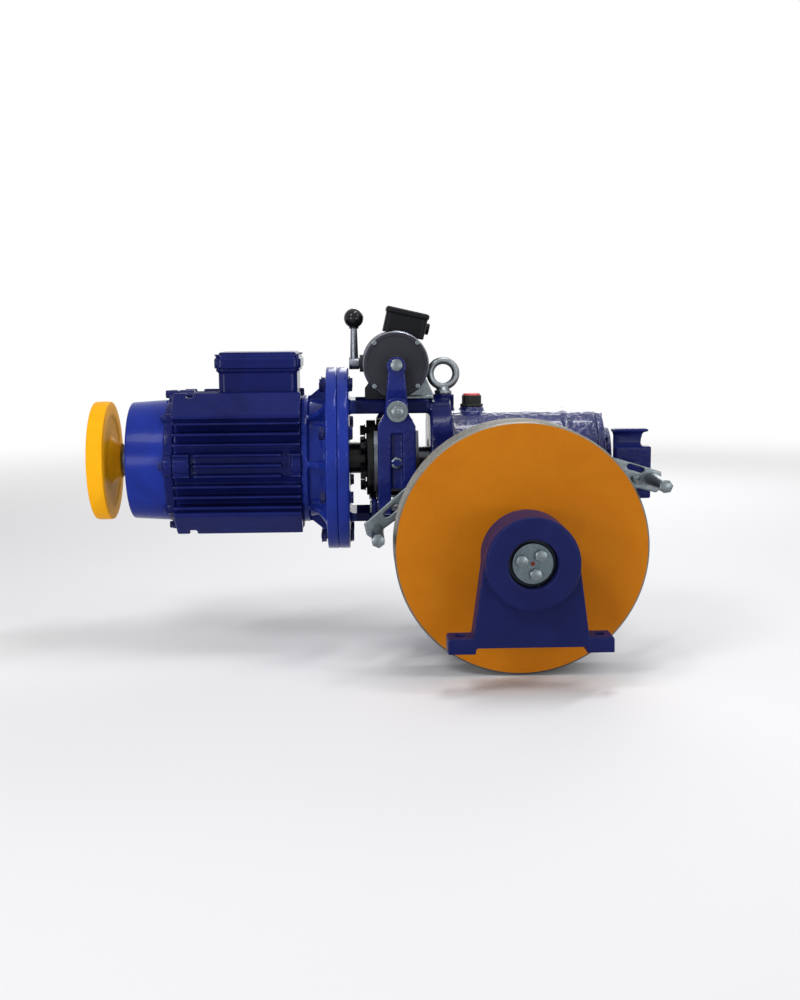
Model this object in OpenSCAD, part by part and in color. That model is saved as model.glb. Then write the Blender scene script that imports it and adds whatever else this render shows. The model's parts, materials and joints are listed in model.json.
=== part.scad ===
// Elevator traction machine: worm gearbox with overhung rope sheave, outboard
// pedestal bearing, flange motor with handwheel, and a drum brake on the coupling.
// Origin: centre of the gearbox foot pattern on the mounting plane.
// X runs along the motor, away from it; Y runs along the slow shaft; Z is up.

/* [Gear set] */
// Module of the worm gearing
gear_module = 4; // [3.9:0.05:4.05]
// Number of teeth on the bronze wheel
wheel_teeth = 48; // [46:1:49]
// Pitch diameter of the single-start worm
worm_pitch_d = 58; // [56:1:60]
// Length of the threaded part of the worm
worm_len = 60; // [50:1:70]
// Width of the bronze wheel rim
wheel_w = 36; // [30:1:40]
// Thickness of a wheel tooth at the pitch circle
wheel_tooth_t = 5.2; // [4.6:0.1:5.6]
// Thickness of the worm thread at the pitch line
worm_thread_t = 5.4; // [4.8:0.1:5.8]

/* [Frame] */
// Height of the slow shaft axis above the mounting plane
slow_axis_h = 140; // [138:1:150]

/* [Rope sheave] */
// Outer diameter of the sheave
sheave_d = 408; // [400:1:412]
// Width of the sheave rim
sheave_w = 80; // [78:1:84]
// Distance from the motor axis plane to the back of the sheave
sheave_back = 170; // [166:1:174]
// Number of rope grooves
groove_count = 5; // [3:1:5]
// Spacing of the rope grooves
groove_pitch = 15; // [13:0.5:15]
// Diameter of the hoisting rope
rope_d = 10; // [8:1:10]
// Radial thickness of the sheave rim
rim_t = 32; // [28:1:36]
// Thickness of the smooth front web
sheave_web_t = 20; // [16:1:24]
// Outer diameter of the sheave hub
sheave_hub_d = 120; // [116:1:130]
// Number of stiffening ribs behind the web
sheave_ribs = 6; // [5:1:8]
// Machined chamfer on the rim edges
rim_chamfer = 3; // [1:0.5:4]

/* [Slow shaft] */
// Shaft diameter at the wheel seat
wheel_seat_d = 84; // [80:1:88]
// Shaft diameter at the gearbox bearings
slow_journal_d = 78; // [76:1:79]
// Shaft diameter at the sheave seat
sheave_seat_d = 75; // [70:1:75]
// Shaft diameter at the pedestal bearing
outer_journal_d = 60; // [56:1:62]
// Diameter of the plate on the outer shaft end
end_plate_d = 63; // [61:0.5:66]
// Thickness of the shaft end plate
end_plate_t = 8; // [6:1:9]
// Circle of the three end plate bolts
end_bolt_circle_d = 34; // [30:1:36]

/* [Pedestal bearing] */
// Front face of the pedestal boss from the motor axis plane
pedestal_front = 385; // [384:1:392]
// Length of the pedestal boss along the shaft
pedestal_len = 87; // [84:1:92]
// Diameter of the pedestal boss
pedestal_boss_d = 143.6; // [138:0.2:150]
// Diameter of the open bore in front of the end plate
pedestal_mouth_d = 75; // [70:1:78]
// Width of the pylon where it meets the foot ears
pylon_w = 176; // [170:1:184]
// Width of the pedestal over its foot ears
ear_span = 253; // [244:1:262]
// Thickness of the foot ears
ear_t = 24; // [20:1:28]
// Depth of the pylon and of its ears along the shaft
ear_depth = 48; // [44:1:52]
// Hole spacing of the pedestal foot
pedestal_hole_spacing = 214; // [210:1:218]
// Diameter of the pedestal foot holes
pedestal_hole_d = 15; // [13:0.5:17]
// Height of the relief under the pylon
foot_relief = 9; // [6:1:12]
// Outer diameter of the pedestal bearing
pedestal_bearing_d = 106; // [100:1:108]
// Width of the pedestal bearing
pedestal_bearing_w = 24; // [20:1:26]

/* [Gear housing] */
// Wall of the wheel case
wheel_case_wall = 11.5; // [10:0.5:13]
// Half depth of the wheel case along the slow shaft
wheel_case_half = 84; // [83:1:86]
// Radial room between the wheel and its case
wheel_room = 3; // [2:0.5:5]
// Outer radius of the worm case
worm_case_r = 82; // [80:1:84]
// End of the worm case on the side away from the motor
worm_case_end = 152; // [148:1:156]
// Clear radius of the worm bore and of its bearing seats
worm_bore_r = 40; // [39:0.5:42]
// Radius of the hub round the slow shaft on the sheave side
slow_hub_r = 78; // [76:1:84]
// Reach of that hub from the motor axis plane
slow_hub_reach = 148; // [140:1:150]
// Outer diameter of the slow shaft bearings
slow_bearing_d = 130; // [124:1:132]
// Width of the slow shaft bearings
slow_bearing_w = 24; // [20:1:26]
// Length of the gearbox base plate
base_l = 330; // [324:1:340]
// Depth of the gearbox base plate
base_w = 230; // [226:1:240]
// Thickness of the gearbox base plate
base_t = 22; // [18:1:26]
// Foot hole spacing along the motor axis
foot_spacing_x = 290; // [284:1:296]
// Foot hole spacing along the slow shaft
foot_spacing_y = 190; // [186:1:194]
// Diameter of the foot holes
foot_hole_d = 18; // [14:1:20]
// Thickness of the round side cover
side_cover_t = 12; // [10:1:14]
// Number of side cover bolts
side_cover_bolts = 8; // [6:1:8]
// Diameter of the closing cap on the worm end cover
worm_cap_d = 104; // [98:1:110]
// Length of the closing cap
worm_cap_len = 15; // [12:1:18]

/* [Lantern] */
// Motor side face of the lantern disc from the slow shaft axis
lantern_joint = 294; // [292:1:298]
// Thickness of the lantern disc
lantern_disc_t = 20; // [18:1:22]
// Diameter of the motor flange and of the lantern disc
flange_d = 318; // [310:1:326]
// Width of the two lantern arms
arm_plate_w = 110; // [100:1:116]
// Underside of the top arm above the motor axis
top_arm_low = 80; // [79:1:82]
// Top of the top arm above the motor axis
top_arm_high = 104; // [103:1:105]
// Top of the bottom arm below the motor axis
bottom_arm_high = 91; // [90:1:94]
// Thickness of the bottom arm
bottom_arm_t = 15; // [13:1:18]
// Motor side face of the thick front wall
front_wall_x = 136; // [134:1:140]
// Thickness of the front wall
front_wall_t = 38; // [36:1:42]
// Radius of the front wall
front_wall_r = 103; // [101:0.5:103.5]

/* [Motor] */
// Length of the finned motor frame
motor_frame_len = 214; // [210:1:218]
// Motor side end of the flange endshield from the slow shaft axis
frame_front = 355; // [353:1:357]
// Radius of the round frame barrel
barrel_r = 105; // [103:1:107]
// Wall of the barrel round the stator
barrel_wall = 10; // [9:0.5:12]
// Reach of the side fins beyond the barrel
fin_reach = 17; // [15:1:21]
// Reach of the corner pads above and below the barrel
pad_reach = 15; // [13:1:19]
// Number of side fins
side_fins = 9; // [7:2:9]
// Spacing of the side fins
fin_pitch = 17.6; // [16.5:0.1:17.8]
// Thickness of a fin
fin_t = 4; // [3:0.5:5]
// Number of stator slots
stator_slots = 24; // [18:6:30]
// Air gap between rotor and stator
air_gap = 0.8; // [0.6:0.1:1.2]
// Radial depth of the stator outside the rotor
stator_depth = 37; // [35:1:39]
// Length of the laminated cores
core_len = 120; // [110:2:130]
// Step from the barrel down to the neck behind the flange
neck_step = 3; // [1:1:5]
// Number of gussets between neck and flange
neck_gussets = 8; // [6:2:10]

/* [Fan end] */
// Length of the fan cover
fan_cover_len = 66; // [60:1:72]
// Taper of the fan cover from the motor to its grille
fan_cover_taper = 4; // [2:1:7]
// Sheet thickness of the fan cover
fan_cover_t = 2; // [1.5:0.25:3]
// Number of fan blades
fan_blades = 9; // [7:1:11]
// Radial room between the fan and its cover
fan_room = 11; // [7:1:19]
// Outer diameter of the handwheel
handwheel_d = 206; // [196:2:216]
// Width of the handwheel rim
handwheel_w = 27; // [24:1:30]
// Radial thickness of the handwheel rim
handwheel_rim_t = 25; // [20:1:28]
// Thickness of the handwheel web
handwheel_web_t = 9; // [7:1:12]
// Diameter of the handwheel hub
handwheel_hub_d = 64; // [58:1:68]
// Gap between the fan cover and the handwheel
handwheel_gap = 37; // [35:1:41]

/* [Motor terminal box] */
// Length of the terminal box lid
tbox_lid_l = 147; // [140:1:152]
// Length of the terminal box body
tbox_l = 134; // [130:1:138]
// Depth of the terminal box body
tbox_w = 120; // [112:1:126]
// Height of the terminal box with its lid
tbox_h = 79; // [75:1:84]
// Height of the lid
tbox_lid_h = 27; // [24:1:30]
// Wall thickness of the terminal box
tbox_wall = 4; // [3:0.5:5]
// Distance of the terminal box centre behind the front end of the frame
tbox_back = 73; // [69:1:77]

/* [Coupling and brake drum] */
// Diameter of the brake drum
drum_d = 136; // [132:1:138]
// Width of the brake drum
drum_w = 64; // [60:1:66]
// Motor side face of the drum from the slow shaft axis
drum_x = 227; // [226:1:228]
// Thickness of the motor side coupling disc
coupling_disc_t = 16; // [14:1:17]
// Diameter of the coupling hub
coupling_hub_d = 55; // [52:1:60]
// Number of coupling pins
coupling_pin_count = 6; // [4:1:8]
// Circle of the coupling pins
coupling_pin_circle_d = 96; // [92:1:98]
// Diameter of the motor shaft at the coupling
motor_shaft_d = 38; // [36:1:39]

/* [Brake] */
// Brake centre plane from the slow shaft axis
brake_x = 194; // [193:1:195]
// Width of the brake shoe
shoe_w = 76; // [70:1:80]
// Angle covered by each shoe
shoe_angle = 76; // [60:2:84]
// Thickness of the brake lining
lining_t = 7; // [5:1:8]
// Thickness of the steel shoe
shoe_t = 9; // [8:1:10]
// Drop of the arm pivots below the motor axis
pivot_drop = 76; // [75:1:77]
// Sideways distance of the arm pivots from the motor axis
pivot_y = 84; // [83:0.5:85]
// Diameter of the arm pivot pins
pivot_pin_d = 14; // [12:1:15]
// Width of the brake arm over its two cheeks
arm_w = 64; // [60:1:68]
// Thickness of one arm cheek
cheek_t = 22; // [18:1:24]
// Height of the spring studs above the motor axis
spring_h = 90; // [88:1:94]
// Free length left for the compressed spring
spring_len = 34; // [30:1:38]
// Outer diameter of the spring
spring_d = 28; // [26:1:32]
// Wire diameter of the spring
spring_wire = 4.5; // [4:0.5:5]
// Running gap between lining and drum
lining_gap = 0.3; // [0.3:0.1:0.5]
// Number of lining blocks bonded to a shoe
lining_blocks = 8; // [6:1:10]

/* [Brake magnet] */
// Height of the magnet axis above the motor axis
magnet_h = 165; // [164:1:167]
// Diameter of the magnet housing
magnet_d = 111; // [108:1:112]
// Length of the magnet over its end covers
magnet_len = 196; // [190:2:200]
// Thickness of the magnet end covers
magnet_cap_t = 12; // [10:1:16]
// Circle of the end cover screws
magnet_screw_circle_d = 102; // [101:0.5:103]
// Diameter of the plunger core
plunger_d = 38; // [34:1:42]
// Diameter of the plunger pin
plunger_pin_d = 18; // [16:1:22]
// Lean of the magnet terminal box to the gearbox side
magnet_box_lean = 13; // [8:1:16]
// Width of the magnet terminal box
magnet_box_w = 72; // [68:1:76]
// Length of the release lever from its shaft to the knob centre
lever_len = 78; // [70:1:86]
// Diameter of the lever knob
knob_d = 34; // [28:1:38]

/* [Rope guards] */
// Thickness of the guard plates
guard_t = 6; // [4:0.5:7]
// Diameter of the guard rods
guard_rod_d = 18; // [14:1:20]
// Length of the guard rods in front of the plates
guard_rod_len = 100; // [96:1:104]

/* [Fittings] */
// Outer diameter of the eye bolt ring
eye_ring_d = 58; // [54:1:62]
// Section diameter of the eye bolt ring
eye_wire = 13; // [11:0.5:14]
// Position of the eye bolt from the slow shaft axis
eye_x = 109; // [107:1:111]
// Height of the eye bolt boss above the worm case
eye_boss_t = 29; // [27:1:32]
// Position of the oil filler from the slow shaft axis
filler_x = 59; // [56:1:62]
// Diameter of the oil filler cap
filler_cap_d = 34; // [30:1:36]
// Height of the filler boss above the worm case
filler_boss_t = 6; // [4:1:8]

/* [Fits] */
// Radial running clearance
run_gap = 0.05; // [0.03:0.01:0.08]
// Radial clearance of fixed seats
seat_gap = 0.02; // [0.01:0.01:0.04]

/* [Hidden] */
$fn = 48;
wheel_pitch_r = gear_module * wheel_teeth / 2;
worm_pitch_r = worm_pitch_d / 2;
centre_distance = wheel_pitch_r + worm_pitch_r;
worm_z = slow_axis_h + centre_distance;
worm_tip_r = worm_pitch_r + gear_module;
worm_root_r = worm_pitch_r - 1.2 * gear_module;
wheel_tip_r = wheel_pitch_r + gear_module;
wheel_root_r = wheel_pitch_r - 1.2 * gear_module;
wheel_rim_r = wheel_tip_r + gear_module;
wheel_bay_r = wheel_rim_r + wheel_room;
wheel_case_r = wheel_bay_r + wheel_case_wall;
worm_lead = PI * gear_module;
lead_angle = atan(gear_module / worm_pitch_d);
flank_slope = tan(20);
blue = [0.17, 0.28, 0.66];
blue_dark = [0.12, 0.13, 0.32];
blue_deep = [0.1, 0.17, 0.47];
orange = [0.68, 0.42, 0.1];
yellow = [0.86, 0.6, 0.12];
grey_dark = [0.2, 0.2, 0.22];
black = [0.07, 0.07, 0.08];
steel = [0.62, 0.62, 0.62];
zinc = [0.72, 0.7, 0.64];
iron = [0.4, 0.4, 0.42];
bronze = [0.66, 0.47, 0.2];
copper = [0.62, 0.33, 0.18];
rubber_black = [0.1, 0.1, 0.1];
lining_brown = [0.3, 0.24, 0.18];
red_cap = [0.7, 0.2, 0.24];
worm_seat_r = 20;
worm_bearing_w = 20;
worm_bearing_front = front_wall_x - 24;
worm_bearing_rear = 100;
worm_bearing_end = worm_bearing_rear + worm_bearing_w;
motor_journal_r = 20;
motor_seat_r = 22;
motor_bearing_r = 40;
motor_bearing_w = 18;
fan_seat_r = 15;
frame_half_w = barrel_r + fin_reach;
frame_half_h = barrel_r + pad_reach;
stator_r = barrel_r - barrel_wall;
rotor_r = stator_r - stator_depth;
neck_r = barrel_r - neck_step;
fan_cover_r = barrel_r;
fan_cover_nose_r = fan_cover_r - fan_cover_taper;
fan_r = fan_cover_nose_r - fan_cover_t - fan_room;
motor_frame_back = frame_front + motor_frame_len;
shield_back = motor_frame_back + 16;
fan_cover_back = shield_back + fan_cover_len;
handwheel_x = fan_cover_back + handwheel_gap;
tbox_x = frame_front + tbox_back;
flange_r = flange_d / 2;
motor_flange_t = 19;
motor_flange_face = lantern_joint + motor_flange_t;
front_journal = -motor_flange_face - motor_bearing_w;
rear_journal = -motor_frame_back - 8;
core_mid = -frame_front - motor_frame_len / 2;
spigot_r = 65;
slow_bearing_in = 50;
slow_bearing_r = slow_bearing_d / 2;
end_plate_face = pedestal_front - 11;
pedestal_back = pedestal_len - pedestal_front;
shaft_end = end_plate_face - end_plate_t;
pedestal_mid = pedestal_front - pedestal_len / 2;
drum_r = drum_d / 2;
drum_end = drum_x - drum_w;
lining_in_r = drum_r + lining_gap;
shoe_in_r = lining_in_r + lining_t;
shoe_out_r = shoe_in_r + shoe_t;
arm_in = shoe_out_r + 2;
arm_out = arm_in + 20;
coupling_disc_x = drum_x + coupling_disc_t + 1.5;
magnet_half = magnet_len / 2;
magnet_r = magnet_d / 2;
plunger_tip = magnet_half + 5;
arm_top_in = plunger_tip + 4;
stem_out = arm_top_in + 15;
pin_circle_r = coupling_pin_circle_d / 2;
top_arm_edge = arm_plate_w / 2;
spring_seat = arm_in + 32;
spring_end = spring_seat + spring_len;
tbox_floor = barrel_r + 3;
tbox_top = tbox_floor + tbox_h;
tbox_rim = tbox_top - tbox_lid_h;
guard_y = slow_hub_reach + 2;
guard_left = [-sheave_d / 2 - 25, slow_axis_h + 18];
guard_right = [sheave_d / 2 + 22, slow_axis_h + 99];
bracket_end = 236;
bracket_mid = worm_z + 24;
bracket_top = worm_z + 54;
eye_boss_r = 19;
eye_boss_h = worm_case_r + eye_boss_t;
filler_seat_h = worm_case_r + filler_boss_t;
front_wall_half = worm_case_r + 6;
eye_ring_h = eye_boss_h + 8 + eye_ring_d / 2 - 2;
filler_boss_r = 21;
plug_x = 61;
plug_z = slow_axis_h - 73;
lever_x = -brake_x - magnet_r - 5.4;
magnet_tube_half = magnet_half - magnet_cap_t;
cover_bolt_r = (wheel_case_r + wheel_bay_r) / 2;
tbox_screw_x = tbox_l / 2 + 1;
tbox_screw_y = tbox_w / 2 + 1;
hub_seat = wheel_pitch_r - 18;

// Across the motor axis: drawing x is world Y, drawing y is world Z from the
// axis, and extrusions run along +X from x.
module across_x(x) {
  translate([x, 0, worm_z]) rotate([90, 0, 90]) children();
}

// Across the slow shaft: drawing y is world Z, extrusions run to -Y from y.
module across_y(y) {
  translate([0, y, slow_axis_h]) rotate([90, 0, 0]) children();
}

// In the brake plane at height h above the motor axis, outward from y.
module outward(side, y, h) {
  translate([-brake_x, side * y, worm_z + h]) rotate([-side * 90, 0, 0]) children();
}

// The same along the magnet axis, to -Y from y.
module across_magnet(y) {
  outward(-1, -y, magnet_h) children();
}

// Along +X on an arm pivot, or on the release lever shaft.
module along_pivot(x, side) {
  translate([x, side * pivot_y, worm_z - pivot_drop]) rotate([0, 90, 0]) children();
}

module along_lever(x) {
  translate([x, 0, worm_z + magnet_h]) rotate([0, 90, 0]) children();
}

// Corners of a rectangle of half sizes a and b.
module corners(a, b) {
  for (x = [-a, a], y = [-b, b]) {
    translate([x, y, 0]) children();
  }
}

// Plain round bar or bore standing on z = 0.
module rod(len, r) {
  cylinder(h = len, r = r);
}

module ring(r_out, r_in, h) {
  difference() {
    rod(h, r_out);
    translate([0, 0, -1]) rod(h + 2, r_in);
  }
}

module around(count, start = 0) {
  for (i = [0:count - 1]) {
    rotate([0, 0, start + i * 360 / count]) children();
  }
}

// Hexagon head or nut, with an optional plain washer below it.
module hex_head(across_flats, height, washer_r = 0, washer_t = 0) {
  if (washer_r > 0) {
    rod(washer_t, washer_r);
  }
  translate([0, 0, washer_t]) cylinder(h = height, r = across_flats / sqrt(3), $fn = 6);
}

// Hexagon bolt: head above z = 0, shank below.
module hex_bolt(shank_r, shank_len, across_flats, height, washer_r = 0, washer_t = 0) {
  hex_head(across_flats, height, washer_r, washer_t);
  translate([0, 0, -shank_len]) rod(shank_len + 0.5, shank_r);
}

// Ring thickness and ball radius of a bearing.
function race_t(bore_r, out_r) = (out_r - bore_r) * 0.26;
function ball_r(bore_r, out_r) = (out_r - bore_r) / 2 - race_t(bore_r, out_r) * 0.62;

// Inner bearing ring with its caged balls, running inside outer_ring().
module inner_race(bore_r, out_r, w) {
  wall_r = bore_r + race_t(bore_r, out_r);
  mid = (out_r + bore_r) / 2;
  ring(wall_r, bore_r + seat_gap, w);
  translate([0, 0, w * 0.36]) ring(mid + 1.5, wall_r - 0.5, w * 0.28);
  around(10) translate([mid, 0, w / 2]) sphere(r = ball_r(bore_r, out_r));
}

module outer_ring(bore_r, out_r, w) {
  difference() {
    ring(out_r - seat_gap, out_r - race_t(bore_r, out_r), w);
    translate([0, 0, w / 2]) rotate_extrude()
      translate([(out_r + bore_r) / 2, 0]) circle(r = ball_r(bore_r, out_r) + 0.4);
  }
}

module outline_circle(r, count) {
  polygon([for (i = [0:count - 1]) [r * cos(i * 360 / count), r * sin(i * 360 / count)]]);
}

// Gearbox
module lantern_arm(low, high) {
  across_x(-lantern_joint + lantern_disc_t - 1)
    linear_extrude(lantern_joint - lantern_disc_t + 1 - front_wall_x - seat_gap)
    translate([-arm_plate_w / 2, low]) square([arm_plate_w, high - low]);
}

// Channel arm of the guard plate away from the motor.
module guard_bracket() {
  front = -wheel_case_half - 24;
  low = slow_axis_h + 60;
  translate([50, front, low]) cube([40, 25, 32]);
  translate([50, front, low]) cube([bracket_end - 50, 22, 30]);
  translate([174, front, low]) cube([bracket_end - 174, 22, bracket_mid - low]);
  translate([172, front + 12, bracket_mid - 2]) rotate([90, 0, 0]) linear_extrude(6)
    polygon([[0, 0], [46, 0], [51, bracket_top - bracket_mid], [0, bracket_top - bracket_mid]]);
  translate([170, front, bracket_top - 6]) cube([61, 22, 6]);
  translate([187, 1 - guard_y, slow_axis_h + 86]) cube([24, guard_y + front + 5, 28]);
}

// Arm of the other guard plate.
module guard_pad() {
  translate([-146, 1 - guard_y, slow_axis_h + 64]) cube([28, guard_y - front_wall_half + 4, 28]);
}

module foot_plate() {
  difference() {
    translate([-base_l / 2, -base_w / 2, 0]) cube([base_l, base_w, base_t]);
    corners(base_l / 2, base_w / 2) rotate([0, 0, 45]) translate([-14, -14, -1]) cube([28, 28, base_t + 2]);
  }
  corners(foot_spacing_x / 2, foot_spacing_y / 2) rod(base_t + 4, foot_hole_d / 2 + 8);
}

module case_outside() {
  across_x(-front_wall_x) linear_extrude(front_wall_t) intersection() {
    circle(r = front_wall_r);
    square([2 * front_wall_half, 2 * front_wall_r], center = true);
  }
  across_x(-front_wall_x + 1) rod(front_wall_x + worm_case_end - 1, worm_case_r);
  across_x(96) rod(9, worm_case_r + 2);
  across_y(wheel_case_half) rod(2 * wheel_case_half, wheel_case_r);
  translate([-wheel_case_r, 20 - wheel_case_half, base_t - 1])
    cube([2 * wheel_case_r, 2 * wheel_case_half - 40, slow_axis_h - base_t]);
  for (x = [20 - wheel_case_r, wheel_case_r - 34]) {
    translate([x + 14, 0, base_t - 1]) rotate([90, 0, -90]) linear_extrude(14) polygon([[60, 0],
      [base_w / 2 - 8, 0], [wheel_case_half - 21, slow_axis_h * 0.62], [60, slow_axis_h * 0.62]]);
  }
  foot_plate();
  across_y(-wheel_case_half + 2) rod(slow_hub_reach - wheel_case_half + 2, slow_hub_r);
  for (a = [100, 180, 250]) {
    across_y(-wheel_case_half + 2) rotate([0, 0, a])
      translate([slow_hub_r - 6, -6, 0]) cube([30, 12, 40]);
  }
  translate([-eye_x, 0, worm_z + worm_case_r - 12]) rod(eye_boss_h - worm_case_r + 12, eye_boss_r);
  translate([-filler_x, 0, worm_z + worm_case_r - 10]) rod(filler_seat_h - worm_case_r + 10, filler_boss_r);
  guard_bracket();
  guard_pad();
}

// Fork lugs below the lantern for the brake arm pivots.
module pivot_lugs(side) {
  for (x = [-brake_x - arm_w / 2 - 11, -brake_x + arm_w / 2 + 1]) {
    translate([x, 0, worm_z - pivot_drop]) rotate([90, 0, 90]) linear_extrude(10) {
      translate([side * pivot_y, 0]) circle(r = 15);
      polygon([[side * (pivot_y + 12), -8], [side * (pivot_y - 15), 0],
        [side * (top_arm_edge - 1), -bottom_arm_high + pivot_drop],
        [side * (top_arm_edge - 1), -bottom_arm_high - bottom_arm_t + pivot_drop]]);
    }
  }
}

// Open bell between the motor flange and the front wall of the gear case.
module lantern() {
  difference() {
    union() {
      across_x(-lantern_joint) rod(lantern_disc_t, flange_r);
      lantern_arm(top_arm_low, top_arm_high);
      lantern_arm(-bottom_arm_high - bottom_arm_t, -bottom_arm_high);
      pivot_lugs(1);
      pivot_lugs(-1);
    }
    // motor register and free passage through the disc
    across_x(-lantern_joint - 1) rod(lantern_disc_t + 2, spigot_r);
    around_flange(-lantern_joint - 1, lantern_disc_t + 2, 7);
    for (side = [-1, 1]) {
      along_pivot(-brake_x - arm_w / 2 - 12, side) rod(arm_w + 24, pivot_pin_d / 2 + seat_gap);
      // spring stud threads
      outward(side, top_arm_edge - 26, spring_h) rod(27, 5 + seat_gap);
    }
  }
}

module gear_case() {
  difference() {
    case_outside();
    // worm bore with both bearing seats
    across_x(-worm_bearing_front) rod(worm_bearing_front + worm_case_end + 1, worm_bore_r);
    across_x(-front_wall_x - 1) rod(front_wall_x, 31);
    // wheel bay, open towards the side cover
    across_y(wheel_case_half + 1) rod(wheel_case_half + 1 + slow_bearing_in - 4, wheel_bay_r);
    // slow shaft bearing seat and seal seat
    across_y(0) rod(slow_bearing_in + slow_bearing_w, slow_bearing_r);
    across_y(0) rod(slow_hub_reach - 12, slow_bearing_r - 6);
    across_y(0) rod(slow_hub_reach + 1, slow_journal_d / 2 + 11);
    // foot holes
    translate([0, 0, -1]) corners(foot_spacing_x / 2, foot_spacing_y / 2) rod(base_t + 8, foot_hole_d / 2);
    // side cover seat and bolt holes
    across_y(base_w / 2 + 1) rod(base_w / 2 + 1 - wheel_case_half, wheel_case_r + 0.8);
    across_y(wheel_case_half + 1) around(side_cover_bolts, 22.5)
      translate([cover_bolt_r, 0, 0]) rod(17, 3.05);
    // end cover bolt holes
    across_x(worm_case_end - 15) around(6, 30) translate([worm_case_r - 14, 0, 0]) rod(16, 4.05);
    // threaded bores
    translate([-eye_x, 0, worm_z + eye_boss_h - 26]) rod(27, 8.05);
    translate([-filler_x, 0, worm_z]) rod(100, 13.05);
    translate([plug_x, -wheel_case_half + 15, plug_z]) rotate([90, 0, 0]) rod(20, 9.05);
    translate([wheel_case_r - 20, 0, base_t + 16]) rotate([0, 90, 0]) rod(30, 9.05);
    // guard plate screw holes
    translate([199, 30 - guard_y, slow_axis_h + 100]) rotate([90, 0, 0]) rod(32, 4.05);
    translate([-135, 30 - guard_y, slow_axis_h + 77]) rotate([90, 0, 0]) rod(32, 4.05);
  }
}

module gear_housing() {
  color(blue) {
    gear_case();
    lantern();
  }
}

module around_flange(x, h, r) {
  across_x(x) around(8, 22.5) translate([flange_r - 19, 0, 0]) rod(h, r);
}

module side_cover() {
  color(blue) difference() {
    union() {
      across_y(wheel_case_half + side_cover_t) rod(side_cover_t, wheel_case_r);
      across_y(wheel_case_half + side_cover_t + 16) rod(17, slow_hub_r);
      across_y(wheel_case_half + 0.5) ring(wheel_bay_r - seat_gap, wheel_bay_r - 9, 9);
      across_y(wheel_case_half + 0.5) rod(wheel_case_half - slow_bearing_in, slow_bearing_r + 9);
      across_y(wheel_case_half + side_cover_t + 8) around(6, 30)
        translate([slow_hub_r - 4, -5, 0]) cube([wheel_case_r - slow_hub_r - 6, 10, 9]);
    }
    across_y(slow_bearing_in + slow_bearing_w) rod(slow_bearing_w + 1, slow_bearing_r);
    across_y(wheel_case_half + side_cover_t + 8) rod(40, slow_bearing_r - 8);
    across_y(wheel_case_half + side_cover_t + 1) around(side_cover_bolts, 22.5)
      translate([cover_bolt_r, 0, 0]) rod(side_cover_t + 2, 3.3);
  }
}

module housing_bolts() {
  color(zinc) {
    translate([0, wheel_case_half + side_cover_t, slow_axis_h]) rotate([-90, 0, 0])
      around(side_cover_bolts, 22.5) translate([cover_bolt_r, 0, 0]) hex_bolt(3, side_cover_t + 12, 10, 5);
    across_x(worm_case_end + 13) around(6, 30) translate([worm_case_r - 14, 0, 0]) hex_bolt(4, 24, 13, 5.5);
    translate([199, -guard_y - guard_t, slow_axis_h + 100]) rotate([90, 0, 0])
      hex_bolt(4, guard_t + 18, 13, 5.5, 8, 1.6);
    translate([-135, -guard_y - guard_t, slow_axis_h + 77]) rotate([90, 0, 0])
      hex_bolt(4, guard_t + 18, 13, 5.5, 8, 1.6);
  }
}

module worm_end_cover() {
  color(blue) difference() {
    union() {
      across_x(worm_case_end) rod(13, worm_case_r - 2);
      across_x(worm_bearing_end) rod(worm_case_end - worm_bearing_end + 1, worm_bore_r - seat_gap);
    }
    across_x(worm_bearing_end - 1) rod(worm_case_end - worm_bearing_end + 15, worm_bore_r - 8);
    across_x(worm_case_end - 1) around(6, 30) translate([worm_case_r - 14, 0, 0]) rod(16, 4.3);
  }
}

module worm_end_cap() {
  color(blue) difference() {
    union() {
      across_x(worm_case_end + 13) rod(worm_cap_len, worm_cap_d / 2);
      across_x(worm_case_end + 5) rod(9, worm_bore_r - 8 - seat_gap);
    }
    across_x(worm_case_end + 4) rod(17, worm_bore_r - 13);
    across_x(worm_case_end + 13 + worm_cap_len - 3) ring(worm_cap_d / 2 - 8, worm_cap_d / 2 - 11, 4);
  }
}

// Tooth of the worm wheel: a straight prism leaning at the lead angle.
module wheel_tooth() {
  root_half = wheel_tooth_t / 2 + 1.6 * gear_module * flank_slope;
  tip_half = wheel_tooth_t / 2 - gear_module * flank_slope;
  rotate([-lead_angle, 0, 0]) translate([0, 0, -wheel_w / 2 - 1]) linear_extrude(wheel_w + 2)
    polygon([[wheel_pitch_r - 1.6 * gear_module, -root_half], [wheel_tip_r - 0.4, -tip_half - 0.1],
      [wheel_tip_r, 0.3 - tip_half], [wheel_tip_r, tip_half - 0.3],
      [wheel_tip_r - 0.4, tip_half + 0.1], [wheel_pitch_r - 1.6 * gear_module, root_half]]);
}

module worm_wheel() {
  color(bronze) across_y(0) rotate([0, 0, 90]) difference() {
    union() {
      translate([0, 0, -wheel_w / 2]) linear_extrude(wheel_w) outline_circle(wheel_root_r, 96);
      intersection() {
        around(wheel_teeth) wheel_tooth();
        translate([0, 0, -wheel_w / 2]) linear_extrude(wheel_w) outline_circle(wheel_rim_r, 48);
      }
    }
    translate([0, 0, -wheel_w / 2 - 1]) linear_extrude(wheel_w + 2)
      outline_circle((hub_seat + seat_gap) / cos(180 / 72), 72);
  }
}

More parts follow.
